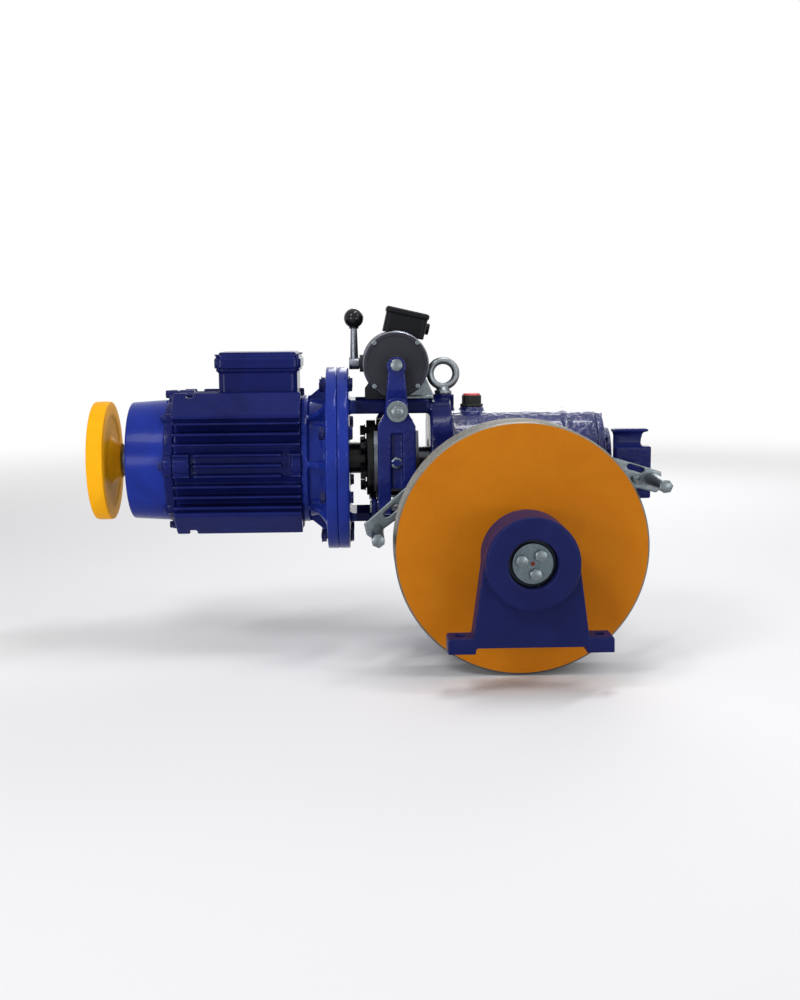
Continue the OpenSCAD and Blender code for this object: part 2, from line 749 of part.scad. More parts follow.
module wheel_hub() {
  color(iron) across_y(0) difference() {
    union() {
      translate([0, 0, -wheel_w / 2 - 3]) rod(3, hub_seat + 5);
      translate([0, 0, -wheel_w / 2]) ring(hub_seat, hub_seat - 9, wheel_w);
      translate([0, 0, -8]) rod(16, hub_seat - 4);
      translate([0, 0, 4 - slow_bearing_in]) rod(2 * slow_bearing_in - 8, wheel_seat_d / 2 + 12);
    }
    translate([0, 0, -slow_bearing_in]) rod(2 * slow_bearing_in, wheel_seat_d / 2 + seat_gap);
    translate([-6 - seat_gap, 0, -30.3]) cube([12 + 2 * seat_gap, wheel_seat_d / 2 + 5.3, 60.6]);
    around(6) translate([hub_seat - 16, 0, -20]) rod(40, 5);
  }
}

// Radius of the worm outline at one turning angle of its section.
function thread_r(a) =
  let (s = abs(a > 180 ? a - 360 : a) / 360 * worm_lead)
  min(worm_tip_r, max(worm_root_r, worm_pitch_r + (worm_thread_t / 2 - s) / flank_slope));

// The threads lie still; the valley between them receives a wheel tooth.
module worm() {
  crest = (worm_thread_t / 2 - gear_module * flank_slope) / worm_lead * 360;
  foot = (worm_thread_t / 2 + 1.2 * gear_module * flank_slope) / worm_lead * 360;
  angles = concat([for (i = [0:3]) -crest + i * crest * 2 / 3],
    [for (i = [1:5]) crest + i * (foot - crest) / 5],
    [for (i = [1:7]) foot + i * (360 - 2 * foot) / 8],
    [for (i = [0:4]) 360 - foot + i * (foot - crest) / 5]);
  slices = floor(worm_len / worm_lead * 24);
  color(steel) across_x(-worm_len / 2) difference() {
    linear_extrude(worm_len, twist = -worm_len / worm_lead * 360, slices = slices, $fn = 6)
      rotate([0, 0, 90 - worm_len / worm_lead * 180])
        polygon([for (a = angles) thread_r((a + 360) % 360) * [cos(a), sin(a)]]);
    translate([0, 0, -1]) linear_extrude(worm_len + 2)
      outline_circle((worm_seat_r + seat_gap) / cos(180 / 36), 36);
  }
}

module worm_shaft() {
  color(steel) difference() {
    union() {
      across_x(-drum_x + 3) rod(drum_x - 3 - worm_bearing_front + 1, worm_seat_r - 1);
      across_x(-worm_bearing_front - 12) rod(12, worm_seat_r + 3);
      across_x(-worm_bearing_front) rod(worm_bearing_front + worm_bearing_end + 10, worm_seat_r);
      across_x(worm_bearing_w - worm_bearing_front) rod(4, worm_seat_r + 4);
      across_x(worm_len / 2) rod(6, worm_seat_r + 3);
      across_x(worm_bearing_rear - 4) rod(4, worm_seat_r + 4);
      across_x(worm_bearing_end) ring(worm_seat_r + 8, worm_seat_r - 1, 8);
    }
    across_x(worm_bearing_end + 9) rod(12, 5);
  }
}

module slow_shaft() {
  wheel_end = slow_bearing_in - 4;
  color(steel) difference() {
    union() {
      across_y(slow_bearing_in + slow_bearing_w + 6)
        rod(2 * slow_bearing_in + 2 * slow_bearing_w + 12, slow_journal_d / 2);
      across_y(wheel_end) rod(2 * wheel_end, wheel_seat_d / 2);
      across_y(slow_bearing_in) rod(4, wheel_seat_d / 2 + 6);
      across_y(-slow_bearing_in + 4) rod(4, wheel_seat_d / 2 + 6);
      across_y(-slow_bearing_in) rod(sheave_back - 2 - slow_bearing_in, slow_journal_d / 2);
      across_y(-sheave_back + 2) rod(sheave_w + 4, sheave_seat_d / 2);
      across_y(-sheave_back - sheave_w) rod(shaft_end - sheave_back - sheave_w, outer_journal_d / 2);
      // keys under the sheave and under the wheel hub
      across_y(-sheave_back - 8) translate([-9, 0, 0]) cube([18, sheave_seat_d / 2 + 5, sheave_w - 16]);
      across_y(30) translate([-6, 0, 0]) cube([12, wheel_seat_d / 2 + 5, 60]);
    }
    across_y(-shaft_end + 20) around(3, 45) translate([end_bolt_circle_d / 2, 0, 0]) rod(21, 5.05);
    across_y(-shaft_end + 6) cylinder(h = 7, r1 = 0.5, r2 = 4);
  }
}

module sheave() {
  rim_in = sheave_d / 2 - rim_t;
  groove_first = sheave_w / 2 - (groove_count - 1) * groove_pitch / 2;
  groove_r = rope_d / 2 + 0.2;
  color(orange) across_y(-sheave_back) difference() {
    rotate_extrude() difference() {
      union() {
        polygon([[rim_in, 0], [sheave_d / 2 - rim_chamfer, 0], [sheave_d / 2, rim_chamfer],
          [sheave_d / 2, sheave_w - rim_chamfer], [sheave_d / 2 - rim_chamfer, sheave_w],
          [rim_in, sheave_w]]);
        translate([sheave_seat_d / 2 + seat_gap, sheave_w - sheave_web_t])
          square([rim_in - sheave_seat_d / 2, sheave_web_t]);
        translate([sheave_seat_d / 2 + seat_gap, 0])
          square([(sheave_hub_d - sheave_seat_d) / 2, sheave_w]);
      }
      for (i = [0:groove_count - 1]) {
        translate([sheave_d / 2 - 4, groove_first + i * groove_pitch]) {
          circle(r = groove_r);
          polygon([[0, -groove_r], [5, -groove_r - 1], [5, groove_r + 1], [0, groove_r]]);
        }
      }
    }
    translate([-9 - seat_gap, 0, -1]) cube([18 + 2 * seat_gap, sheave_seat_d / 2 + 5.3, sheave_w - 6]);
  }
  color(orange) across_y(-sheave_back - 6) intersection() {
    around(sheave_ribs, 30) translate([sheave_hub_d / 2 - 2, -6, 0])
      cube([rim_in - sheave_hub_d / 2 + 4, 12, sheave_w - sheave_web_t - 5]);
    ring(rim_in + 1, sheave_hub_d / 2 - 1, sheave_w);
  }
}

module pedestal() {
  boss_r = pedestal_boss_d / 2;
  drop = slow_axis_h - ear_t;
  reach = sqrt(pow(pylon_w / 2, 2) + drop * drop);
  lean = atan(drop / (pylon_w / 2)) - acos(boss_r / reach);
  tangent_x = boss_r * cos(lean);
  tangent_y = -boss_r * sin(lean);
  color(blue_dark) difference() {
    union() {
      across_y(pedestal_back) rod(pedestal_len - 3, boss_r);
      across_y(-pedestal_front + 3) cylinder(h = 3, r1 = boss_r, r2 = boss_r - 2.4);
      across_y(-pedestal_mid + ear_depth / 2) linear_extrude(ear_depth)
        polygon([[-pylon_w / 2, -slow_axis_h], [-pylon_w / 2, -drop], [-tangent_x, tangent_y],
          [tangent_x, tangent_y], [pylon_w / 2, -drop], [pylon_w / 2, -slow_axis_h]]);
      translate([-ear_span / 2, -pedestal_mid - ear_depth / 2, 0]) cube([ear_span, ear_depth, ear_t - 2]);
      translate([-ear_span / 2 + 2, -pedestal_mid - ear_depth / 2 + 2, ear_t - 2.01])
        cube([ear_span - 4, ear_depth - 4, 2.01]);
      // rib under the boss, at the back
      across_y(pedestal_back) linear_extrude(pedestal_len / 2)
        polygon([[-22, -boss_r + 4], [22, -boss_r + 4], [22, -slow_axis_h + foot_relief + 22],
          [-22, -slow_axis_h + foot_relief + 22]]);
    }
    translate([4 - pylon_w / 2, -pedestal_front - 1, -1])
      cube([pylon_w - 8, pedestal_len + 2, foot_relief + 1]);
    across_y(pedestal_back + 1) rod(pedestal_back + 1 + shaft_end, pedestal_bearing_d / 2);
    across_y(-pedestal_front + 40) rod(41, pedestal_mouth_d / 2);
    for (x = [-1, 1]) {
      translate([x * pedestal_hole_spacing / 2, -pedestal_mid, -1]) rod(ear_t + 2, pedestal_hole_d / 2);
    }
  }
}

module slow_bearing_rings() {
  color(steel) {
    for (y = [slow_bearing_in + slow_bearing_w, -slow_bearing_in]) {
      across_y(y) outer_ring(slow_journal_d / 2, slow_bearing_r, slow_bearing_w);
    }
    across_y(pedestal_bearing_w - shaft_end)
      outer_ring(outer_journal_d / 2, pedestal_bearing_d / 2, pedestal_bearing_w);
  }
}

module slow_bearing_races() {
  color(steel) {
    for (y = [slow_bearing_in + slow_bearing_w, -slow_bearing_in]) {
      across_y(y) inner_race(slow_journal_d / 2, slow_bearing_r, slow_bearing_w);
    }
    across_y(pedestal_bearing_w - shaft_end)
      inner_race(outer_journal_d / 2, pedestal_bearing_d / 2, pedestal_bearing_w);
  }
}

module shaft_seals() {
  color(rubber_black) {
    across_y(-slow_hub_reach + 12) ring(slow_journal_d / 2 + 11 - seat_gap, slow_journal_d / 2 + run_gap, 11);
    across_y(pedestal_back - 1) ring(pedestal_bearing_d / 2 - seat_gap, outer_journal_d / 2 + run_gap, 10);
    across_x(-front_wall_x + 1) ring(31 - seat_gap, worm_seat_r - 1 + run_gap, 10);
  }
}

module shaft_end_plate() {
  color(steel) across_y(-shaft_end) difference() {
    union() {
      rod(end_plate_t - 1, end_plate_d / 2);
      translate([0, 0, end_plate_t - 1.01])
        cylinder(h = 1.01, r1 = end_plate_d / 2, r2 = end_plate_d / 2 - 1);
    }
    translate([0, 0, -1]) around(3, 45) translate([end_bolt_circle_d / 2, 0, 0]) rod(end_plate_t + 2, 5.3);
    translate([0, 0, end_plate_t - 3]) cylinder(h = 4, r1 = 0.6, r2 = 3.4);
  }
}

module end_plate_bolts() {
  color(zinc) across_y(-end_plate_face) around(3, 45) translate([end_bolt_circle_d / 2, 0, 0])
    hex_bolt(5, end_plate_t + 16, 17, 6);
}

// Motor
module motor_flange() {
  gusset_foot = neck_r - 3;
  color(blue) difference() {
    union() {
      across_x(-motor_flange_face) rod(motor_flange_t, flange_r);
      across_x(-lantern_joint - 1) rod(6, spigot_r - seat_gap);
      across_x(-frame_front) rod(frame_front - motor_flange_face + 1, neck_r);
      across_x(-frame_front) rod(11, barrel_r + 6);
      across_x(-frame_front - 5) ring(stator_r - seat_gap, stator_r - 8, 6);
      around_neck() polygon([[-frame_front + 4, gusset_foot], [-frame_front + 14, barrel_r + 5],
        [-motor_flange_face - 12, flange_r - 36], [-motor_flange_face + 1, flange_r - 14],
        [-motor_flange_face + 1, gusset_foot]]);
    }
    across_x(-frame_front - 6) rod(frame_front - motor_flange_face + 6, neck_r - 9);
    across_x(-motor_flange_face - 7) rod(motor_flange_t + 20, motor_journal_r + 5);
    around_flange(-motor_flange_face - 1, motor_flange_t + 2, 7);
  }
  // bearing hub in the neck
  color(blue) across_x(front_journal - 2) ring(motor_bearing_r + 8, motor_bearing_r, motor_bearing_w + 3);
}

// Flat gusset outline at each spoke: x along the motor, y outward.
module around_neck() {
  for (i = [0:neck_gussets - 1]) {
    translate([0, 0, worm_z]) rotate([i * 360 / neck_gussets, 0, 0])
      translate([0, 5, 0]) rotate([90, 0, 0]) linear_extrude(10) children();
  }
}

module flange_bolts() {
  color(zinc) {
    across_x(-lantern_joint + lantern_disc_t) around(8, 22.5) translate([flange_r - 19, 0, 0])
      hex_bolt(6, lantern_disc_t + motor_flange_t + 11, 19, 8, 12, 2.5);
    across_x(-motor_flange_face) around(8, 22.5) translate([flange_r - 19, 0, 0])
      mirror([0, 0, 1]) difference() {
        hex_head(19, 9, 12, 2.5);
        translate([0, 0, -1]) rod(14, 6 + seat_gap);
      }
  }
}

module frame_section() {
  pad_in = tbox_w / 2 + 12;
  pad_foot = barrel_r - 3;
  fin_root = barrel_r - 45;
  pad_root = barrel_r - 35;
  difference() {
    union() {
      circle(r = barrel_r);
      for (sx = [-1, 1], sy = [-1, 1]) {
        polygon([[sx * frame_half_w, sy * (barrel_r - 26)], [sx * frame_half_w, sy * (barrel_r - 21)],
          [sx * (pad_in + 6), sy * frame_half_h], [sx * pad_in, sy * frame_half_h],
          [sx * pad_foot * cos(49), sy * pad_foot * sin(49)],
          [sx * pad_foot * cos(40.4), sy * pad_foot * sin(40.4)]]);
      }
      for (i = [-(side_fins - 1) / 2:(side_fins - 1) / 2], sx = [-1, 1]) {
        translate([min(sx * frame_half_w, sx * fin_root), i * fin_pitch - fin_t / 2])
          square([frame_half_w - fin_root, fin_t]);
      }
      for (i = [-4:4], sy = [-1, 1]) {
        translate([i * 14.5 - fin_t / 2, min(sy * (frame_half_h - 3), sy * pad_root)])
          square([fin_t, frame_half_h - 3 - pad_root]);
      }
    }
    circle(r = stator_r);
  }
}

module frame_bosses(h) {
  for (sx = [-1, 1]) {
    translate([sx * (barrel_r - 2), 0, 0]) rod(h, 19);
    translate([0, sx * barrel_r, 0]) rod(h, 17);
  }
}

module motor_frame() {
  tbox_root = tbox_floor - 28;
  color(blue) difference() {
    union() {
      across_x(-motor_frame_back) linear_extrude(motor_frame_len) frame_section();
      across_x(-motor_frame_back) frame_bosses(28);
      across_x(-frame_front - 16) frame_bosses(16);
      // raised seat for the terminal box
      translate([-tbox_x - tbox_l / 2 + 4, -tbox_w / 2 + 4, worm_z + tbox_root])
        cube([tbox_l - 8, tbox_w - 8, tbox_floor - tbox_root]);
    }
    across_x(-motor_frame_back - 1) rod(motor_frame_len + 2, stator_r);
    translate([-tbox_x - tbox_lid_l / 2, -tbox_w / 2 - 4, worm_z + tbox_floor])
      cube([tbox_lid_l, tbox_w + 8, 30]);
    for (side = [-1, 1]) {
      translate([-motor_frame_back + 28.5, side * (frame_half_w + 2) - 20, worm_z - 22]) cube([6, 40, 44]);
      translate([-frame_front - 32, side * (frame_half_w + 2) - 20, worm_z - 22]) cube([15, 40, 44]);
      // notch in the corner pads behind the rear lugs
      for (z = [-1, 1] * (frame_half_h + 4)) {
        translate([-motor_frame_back + 22, side * (frame_half_w - 22) - 40, worm_z + z - 12])
          cube([12, 80, 24]);
      }
    }
    // tie screw holes
    across_x(-motor_frame_back - 1) frame_screw_spots() rod(25, 4.05);
    across_x(-frame_front - 24) frame_screw_spots() rod(25, 4.05);
    translate([-tbox_x, 0, worm_z + tbox_root]) rod(40, 14);
    translate([-tbox_x, 0, worm_z + tbox_floor - 14]) corners(tbox_l / 2 - 12, tbox_w / 2 - 12)
      rod(15, 2.55);
  }
}

module frame_screw_spots() {
  for (sx = [-1, 1]) {
    translate([sx * (barrel_r + 9.5), 0, 0]) children();
    translate([0, sx * (barrel_r + 9.5), 0]) children();
  }
}

module stator_core() {
  color(iron) across_x(core_mid - core_len / 2) difference() {
    ring(stator_r - seat_gap, rotor_r + air_gap, core_len);
    translate([0, 0, -1]) linear_extrude(core_len + 2) around(stator_slots) {
      translate([rotor_r + air_gap - 1, -1]) square([6, 2]);
      translate([rotor_r + air_gap + 3, -2.6]) square([17, 5.2]);
    }
  }
}

module stator_windings() {
  wind_in = rotor_r + air_gap + 4;
  color(copper) {
    for (x = [core_mid - core_len / 2 - 22, core_mid + core_len / 2]) {
      across_x(x) rotate_extrude() translate([wind_in, 0]) hull() {
        translate([0, 0]) square([20, 22]);
        translate([4, 1]) square([14, 20]);
      }
    }
    across_x(core_mid - core_len / 2 - 0.5) linear_extrude(core_len + 1) around(stator_slots)
      translate([wind_in, -2.3]) square([15.5, 4.6]);
  }
}

module rotor_core() {
  color(steel) across_x(core_mid - core_len / 2 - 2) difference() {
    union() {
      rod(core_len + 4, rotor_r);
      translate([0, 0, -8]) ring(rotor_r - 5, rotor_r - 20, core_len + 20);
      around(6) translate([rotor_r - 13, -1.5, -14]) cube([8, 3, core_len + 32]);
    }
    translate([0, 0, -20]) rod(core_len + 50, motor_seat_r + seat_gap);
    translate([0, 0, -20]) around(6, 30) translate([33, 0, 0]) rod(core_len + 50, 4);
  }
}

module motor_shaft() {
  color(steel) difference() {
    union() {
      across_x(front_journal) rod(-coupling_disc_x + coupling_disc_t - 1 - front_journal, motor_shaft_d / 2);
      across_x(front_journal - 1) rod(motor_bearing_w + 7, motor_journal_r);
      across_x(core_mid - core_len / 2 - 6) rod(front_journal - core_mid + core_len / 2 + 6, motor_seat_r);
      across_x(rear_journal + motor_bearing_w)
        rod(core_mid - core_len / 2 - 5 - rear_journal - motor_bearing_w, motor_seat_r + 3);
      across_x(rear_journal - 4) rod(motor_bearing_w + 5, motor_journal_r);
      across_x(-handwheel_x - handwheel_w + 6) rod(handwheel_x + handwheel_w - 6 + rear_journal, fan_seat_r);
    }
    across_x(-handwheel_x - handwheel_w + 5) rod(26, 5.05);
  }
}

module rear_endshield() {
  color(blue) difference() {
    union() {
      across_x(-shield_back) rod(16, barrel_r + 2);
      across_x(-motor_frame_back - 1) ring(stator_r - seat_gap, stator_r - 8, 7);
      across_x(-shield_back - 7) ring(fan_cover_r - fan_cover_t - 0.7, fan_cover_r - 12, 8);
      across_x(-shield_back) intersection() {
        frame_bosses(16);
        rod(40, frame_half_w);
      }
      across_x(-motor_frame_back - 10) rod(22, motor_bearing_r + 8);
      across_x(-shield_back) around(4, 45) translate([barrel_r + 3, 0, 0]) rod(14, 9);
    }
    across_x(-motor_frame_back - 8) rod(30, motor_bearing_r);
    across_x(-shield_back - 20) rod(40, motor_journal_r + 2);
    across_x(-shield_back - 1) frame_screw_spots() rod(30, 4.3);
    across_x(-shield_back - 10) around(4, 45) translate([barrel_r + 5.5, 0, 0]) rod(24, 2.55);
  }
}

module motor_screws() {
  color(zinc) {
    across_x(-shield_back) frame_screw_spots() mirror([0, 0, 1]) hex_bolt(4, 34, 12, 5.5, 7.2, 1.6);
    for (i = [0:3]) {
      across_x(-shield_back) rotate([0, 0, 45 + 90 * i]) translate([barrel_r + 5.5, 0, -2])
        mirror([0, 0, 1]) hex_bolt(2.5, 14, 8, 3.5);
    }
    translate([-tbox_x, 0, worm_z + tbox_top - 1.6]) corners(tbox_screw_x, tbox_screw_y)
      hex_bolt(2, 20, 7, 3);
  }
}

module fan_cover() {
  lip = 3;
  color(blue_deep) {
    across_x(-fan_cover_back) difference() {
      cylinder(h = fan_cover_len, r1 = fan_cover_nose_r, r2 = fan_cover_r);
      translate([0, 0, fan_cover_t])
        cylinder(h = fan_cover_len, r1 = fan_cover_nose_r - fan_cover_t, r2 = fan_cover_r - fan_cover_t);
      translate([0, 0, -1]) rod(6, 40);
      for (r = [46:11:fan_cover_nose_r - 11]) {
        translate([0, 0, -1]) difference() {
          ring(r + 7, r, fan_cover_t + 2);
          around(6, 15) translate([-3, 0, -1]) cube([6, 110, fan_cover_t + 4]);
        }
      }
    }
    across_x(-shield_back - lip) difference() {
      intersection() {
        around(4, 45) translate([fan_cover_r - 1.4, -8, 1]) cube([14, 16, 2]);
        rod(9, fan_cover_r + 11);
      }
      around(4, 45) translate([barrel_r + 5.5, 0, 0]) rod(12, 2.7);
    }
  }
}

module cooling_fan() {
  fan_x = -shield_back - 44;
  color(black) difference() {
    union() {
      across_x(fan_x) rod(32, fan_seat_r + 9);
      across_x(fan_x + 20) rod(3, fan_r);
      across_x(fan_x) around(fan_blades) translate([fan_seat_r + 6, -1.25, 0])
        cube([fan_r - fan_seat_r - 6, 2.5, 21]);
    }
    across_x(fan_x - 1) rod(34, fan_seat_r + seat_gap);
  }
}

module handwheel() {
  outer = handwheel_d / 2;
  inner = outer - handwheel_rim_t;
  hub_r = handwheel_hub_d / 2;
  bore = fan_seat_r + seat_gap;
  color(yellow) across_x(-handwheel_x - handwheel_w) rotate_extrude() polygon([
    [bore, 6], [hub_r - 6, 6], [hub_r - 3, 10],
    [hub_r - 1, handwheel_w - handwheel_web_t - 2], [inner - 4, handwheel_w - handwheel_web_t - 2],
    [inner, handwheel_w - handwheel_web_t - 5], [inner + 2, 3], [inner + 5, 0], [outer - 4, 0], [outer, 4],
    [outer, handwheel_w - 4], [outer - 4, handwheel_w], [inner + 2, handwheel_w],
    [inner - 3, handwheel_w - 2], [hub_r + 8, handwheel_w - 2], [hub_r + 2, handwheel_w + 2],
    [hub_r, handwheel_w + 8], [hub_r - 2, handwheel_w + 18], [bore, handwheel_w + 18]]);
}

module handwheel_bolt() {
  color(zinc) across_x(-handwheel_x - handwheel_w + 6) mirror([0, 0, 1]) hex_bolt(5, 20, 17, 6.5, 19, 3);
}

module terminal_box() {
  rim_h = tbox_rim - tbox_floor;
  color(blue) translate([-tbox_x, 0, worm_z + tbox_floor]) difference() {
    union() {
      linear_extrude(rim_h) rounded_rect(tbox_l, tbox_w, 12);
      translate([0, 0, rim_h - 6]) linear_extrude(6) rounded_rect(tbox_l + 8, tbox_w + 8, 14);
      for (x = [-30, 30]) {
        translate([x, tbox_w / 2 - 2, 26]) rotate([-90, 0, 0]) rod(8, 17);
      }
    }
    difference() {
      translate([0, 0, tbox_wall]) linear_extrude(rim_h)
        rounded_rect(tbox_l - 2 * tbox_wall, tbox_w - 2 * tbox_wall, 8);
      // corner pillars for the lid screws
      corners(tbox_screw_x, tbox_screw_y) rod(rim_h + 1, 9);
    }
    translate([0, 0, -1]) rod(10, 14);
    translate([0, 0, rim_h - 16]) corners(tbox_screw_x, tbox_screw_y) rod(17, 2.05);
    for (x = [-30, 30]) {
      translate([x, tbox_w / 2 - 8, 26]) rotate([-90, 0, 0]) rod(20, 12.5);
    }
  }
}

module rounded_rect(l, w, r) {
  square([l - 2 * r, w], center = true);
  square([l, w - 2 * r], center = true);
  for (x = [r - l / 2, l / 2 - r], y = [r - w / 2, w / 2 - r]) {
    translate([x, y]) circle(r = r);
  }
}

module terminal_box_lid() {
  lid_w = tbox_w + tbox_lid_l - tbox_l;
  color(blue) translate([-tbox_x, 0, worm_z + tbox_rim]) difference() {
    union() {
      linear_extrude(tbox_lid_h * 0.6) rounded_rect(tbox_lid_l, lid_w, 14);
      translate([0, 0, tbox_lid_h * 0.6 - 0.01]) linear_extrude(tbox_lid_h * 0.2)
        rounded_rect(tbox_lid_l - 6, lid_w - 6, 12);
      translate([0, 0, tbox_lid_h * 0.8 - 0.01]) linear_extrude(tbox_lid_h * 0.2 + 0.01)
        rounded_rect(tbox_lid_l - 16, lid_w - 16, 10);
    }
    translate([0, 0, -1]) linear_extrude(tbox_lid_h - 5 + 1) rounded_rect(tbox_l - 26, tbox_w - 26, 8);
    corners(tbox_screw_x, tbox_screw_y) {
      translate([0, 0, -1]) rod(40, 2.25);
      translate([0, 0, tbox_lid_h - 1.6]) rod(10, 6.5);
    }
  }
}

module terminal_block() {
  color(rubber_black) translate([-tbox_x, 12, worm_z + tbox_floor + tbox_wall]) {
    translate([-38, -3, 0]) cube([76, 34, 14]);
  }
  color(bronze) translate([-tbox_x, 12, worm_z + tbox_floor + tbox_wall + 14]) {
    for (x = [-24, 0, 24], y = [5, 23]) {
      translate([x, y, 0]) {
        cylinder(h = 3.2, r = 6.5, $fn = 6);
        rod(11, 2.5);
      }
    }
  }
}

module fast_bearing_rings() {
  color(steel) {
    for (x = [-worm_bearing_front, worm_bearing_rear]) {
      across_x(x) outer_ring(worm_seat_r, worm_bore_r, worm_bearing_w);
    }
    for (x = [front_journal, rear_journal]) {
      across_x(x) outer_ring(motor_journal_r, motor_bearing_r, motor_bearing_w);
    }
  }
}

module fast_bearing_races() {
  color(steel) {
    for (x = [-worm_bearing_front, worm_bearing_rear]) {
      across_x(x) inner_race(worm_seat_r, worm_bore_r, worm_bearing_w);
    }
    for (x = [front_journal, rear_journal]) {
      across_x(x) inner_race(motor_journal_r, motor_bearing_r, motor_bearing_w);
    }
  }
}

// Coupling
module coupling_half() {
  color(black) difference() {
    union() {
      across_x(-coupling_disc_x) rod(coupling_disc_t, drum_r - 2);
      across_x(-motor_flange_face + 26) rod(motor_flange_face - 26 - coupling_disc_x + 1, coupling_hub_d / 2);
    }
    across_x(-motor_flange_face) rod(90, motor_shaft_d / 2 + seat_gap);
    across_x(-coupling_disc_x - 1) around(coupling_pin_count, 30) translate([pin_circle_r, 0, 0])
      rod(coupling_disc_t + 2, 6 + seat_gap);
  }
}

module coupling_pins() {
  color(zinc) across_x(-coupling_disc_x) around(coupling_pin_count, 30) translate([pin_circle_r, 0, 0]) {
    translate([0, 0, -11]) rod(coupling_disc_t + 11.5, 6);
    mirror([0, 0, 1]) hex_head(17, 7.5, 10.5, 1.8);
    translate([0, 0, coupling_disc_t]) rod(34, 10.5);
  }
}

module brake_drum() {
  color(black) difference() {
    union() {
      across_x(-drum_x) ring(drum_r, drum_r - 14, drum_w);
      across_x(-drum_x) rod(38, drum_r - 6);
      across_x(-drum_x) rod(drum_w + 4, worm_seat_r + 13);
    }
    across_x(-drum_x - 1) rod(drum_w + 6, worm_seat_r - 1 + seat_gap);
    across_x(-drum_x - 1) around(coupling_pin_count, 30) translate([pin_circle_r, 0, 0])
      rod(36, 10.5 + run_gap);
  }
}

// Brake
// Side view of the arm: outward from the motor axis, then up.
module arm_side() {
  polygon([[pivot_y - 7, -pivot_drop - 12], [pivot_y + 9, -pivot_drop - 12],
    [arm_out - 2, -40], [arm_out, -30], [arm_out, 62], [arm_out + 1, 72],
    [stem_out, magnet_h - 40], [stem_out, magnet_h + 14], [arm_top_in, magnet_h + 14],
    [arm_top_in, magnet_h - 30], [arm_in + 2, 76], [arm_in, 60], [arm_in, -44],
    [pivot_y - 7, -pivot_drop + 4]]);
}

module arm_front_outline() {
  half = arm_w / 2;
  // foot and two cheeks
  translate([-half, -pivot_drop - 14]) square([cheek_t, pivot_drop + 74]);
  translate([half - cheek_t, -pivot_drop - 14]) square([cheek_t, pivot_drop + 74]);
  // shoulder narrowing into the stem
  polygon([[-half, 50], [half, 50], [half, 62], [20, 84], [14, magnet_h - 14], [-14, magnet_h - 14],
    [-20, 84], [-half, 62]]);
  translate([0, magnet_h - 3]) circle(r = 16);
}

// Front brake arm; the rear one is its mirror image.
module brake_arm() {
  lock_nut = stem_out + 0.02;
  color(blue) difference() {
    union() {
      intersection() {
        across_x(-brake_x - arm_w / 2) linear_extrude(arm_w) mirror([1, 0]) arm_side();
        outward(-1, 0, 0) linear_extrude(200) arm_front_outline();
      }
      // web between the cheeks
      translate([-brake_x - arm_w / 2 + 4, -arm_in - 10, worm_z - 44]) cube([arm_w - 8, 10, 104]);
      outward(-1, arm_in + 1, spring_h) rod(spring_seat - arm_in - 1, 19);
      // pivot eyes
      for (x = [0.4 - arm_w / 2, arm_w / 2 - cheek_t]) {
        along_pivot(x - brake_x, -1) rod(cheek_t - 0.4, 14);
      }
    }
    along_pivot(-brake_x - arm_w, -1) rod(2 * arm_w, pivot_pin_d / 2 + run_gap);
    outward(-1, arm_in - 10, spring_h) rod(60, 7.5);
    outward(-1, arm_top_in - 5, magnet_h) rod(40, 6.02);
    // shoe screw
    outward(-1, arm_in - 5, 0) rod(40, 6.02);
  }
  // adjusting bolt, lock nut and shoe screw
  color(zinc) {
    outward(-1, stem_out + 7, magnet_h) hex_bolt(6, stem_out + 7 - plunger_tip - 0.4, 18, 8);
    outward(-1, lock_nut, magnet_h) difference() {
      hex_head(18, 6.6);
      translate([0, 0, -1]) rod(9, 6.02);
    }
    outward(-1, arm_in + 10.02, 0) hex_bolt(6, 18, 18, 7.5);
  }
}

module brake_arm_front() {
  brake_arm();
}

module brake_arm_rear() {
  mirror([0, 1, 0]) brake_arm();
}

module shoe_arc(r_out, r_in, w, start = 0, angle = shoe_angle) {
  across_x(-brake_x - w / 2) rotate([0, 0, 180 - shoe_angle / 2 + start]) rotate_extrude(angle = angle)
    translate([r_in, 0]) square([r_out - r_in, w]);
}

// Steel shoe with its lining bonded on in blocks.
module brake_shoe() {
  color(steel) for (part = [[0, 0.25], [0.25, 0.5], [0.75, 0.25]]) difference() {
    union() {
      shoe_arc(shoe_out_r, shoe_in_r, shoe_w, part[0] * shoe_angle + 0.02, part[1] * shoe_angle - 0.04);
      if (part[1] == 0.5)
        translate([-brake_x - 16, -arm_in, worm_z - 22]) cube([32, arm_in - shoe_in_r - 3, 44]);
    }
    outward(-1, shoe_in_r + 2.5, 0) rod(30, 6.02);
  }
  block_angle = shoe_angle / lining_blocks;
  color(lining_brown) for (i = [0:lining_blocks - 1]) {
    shoe_arc(shoe_in_r - 0.01, lining_in_r, shoe_w - 10, (i + 0.04) * block_angle, 0.92 * block_angle);
  }
}

module brake_shoe_front() {
  brake_shoe();
}

module brake_shoe_rear() {
  mirror([0, 1, 0]) brake_shoe();
}

module pivot_pins() {
  color(steel) for (side = [-1, 1]) {
    along_pivot(-brake_x - arm_w / 2 - 14, side) {
      rod(arm_w + 28, pivot_pin_d / 2);
      rod(2.6, pivot_pin_d / 2 + 3);
    }
  }
}

module spring_studs() {
  color(zinc) for (side = [-1, 1]) {
    outward(side, top_arm_edge - 25, spring_h) {
      rod(spring_end - top_arm_edge + 25 + 20, 5);
      translate([0, 0, spring_end - top_arm_edge + 25]) hex_head(19, 9, 17.5, 3);
    }
  }
}

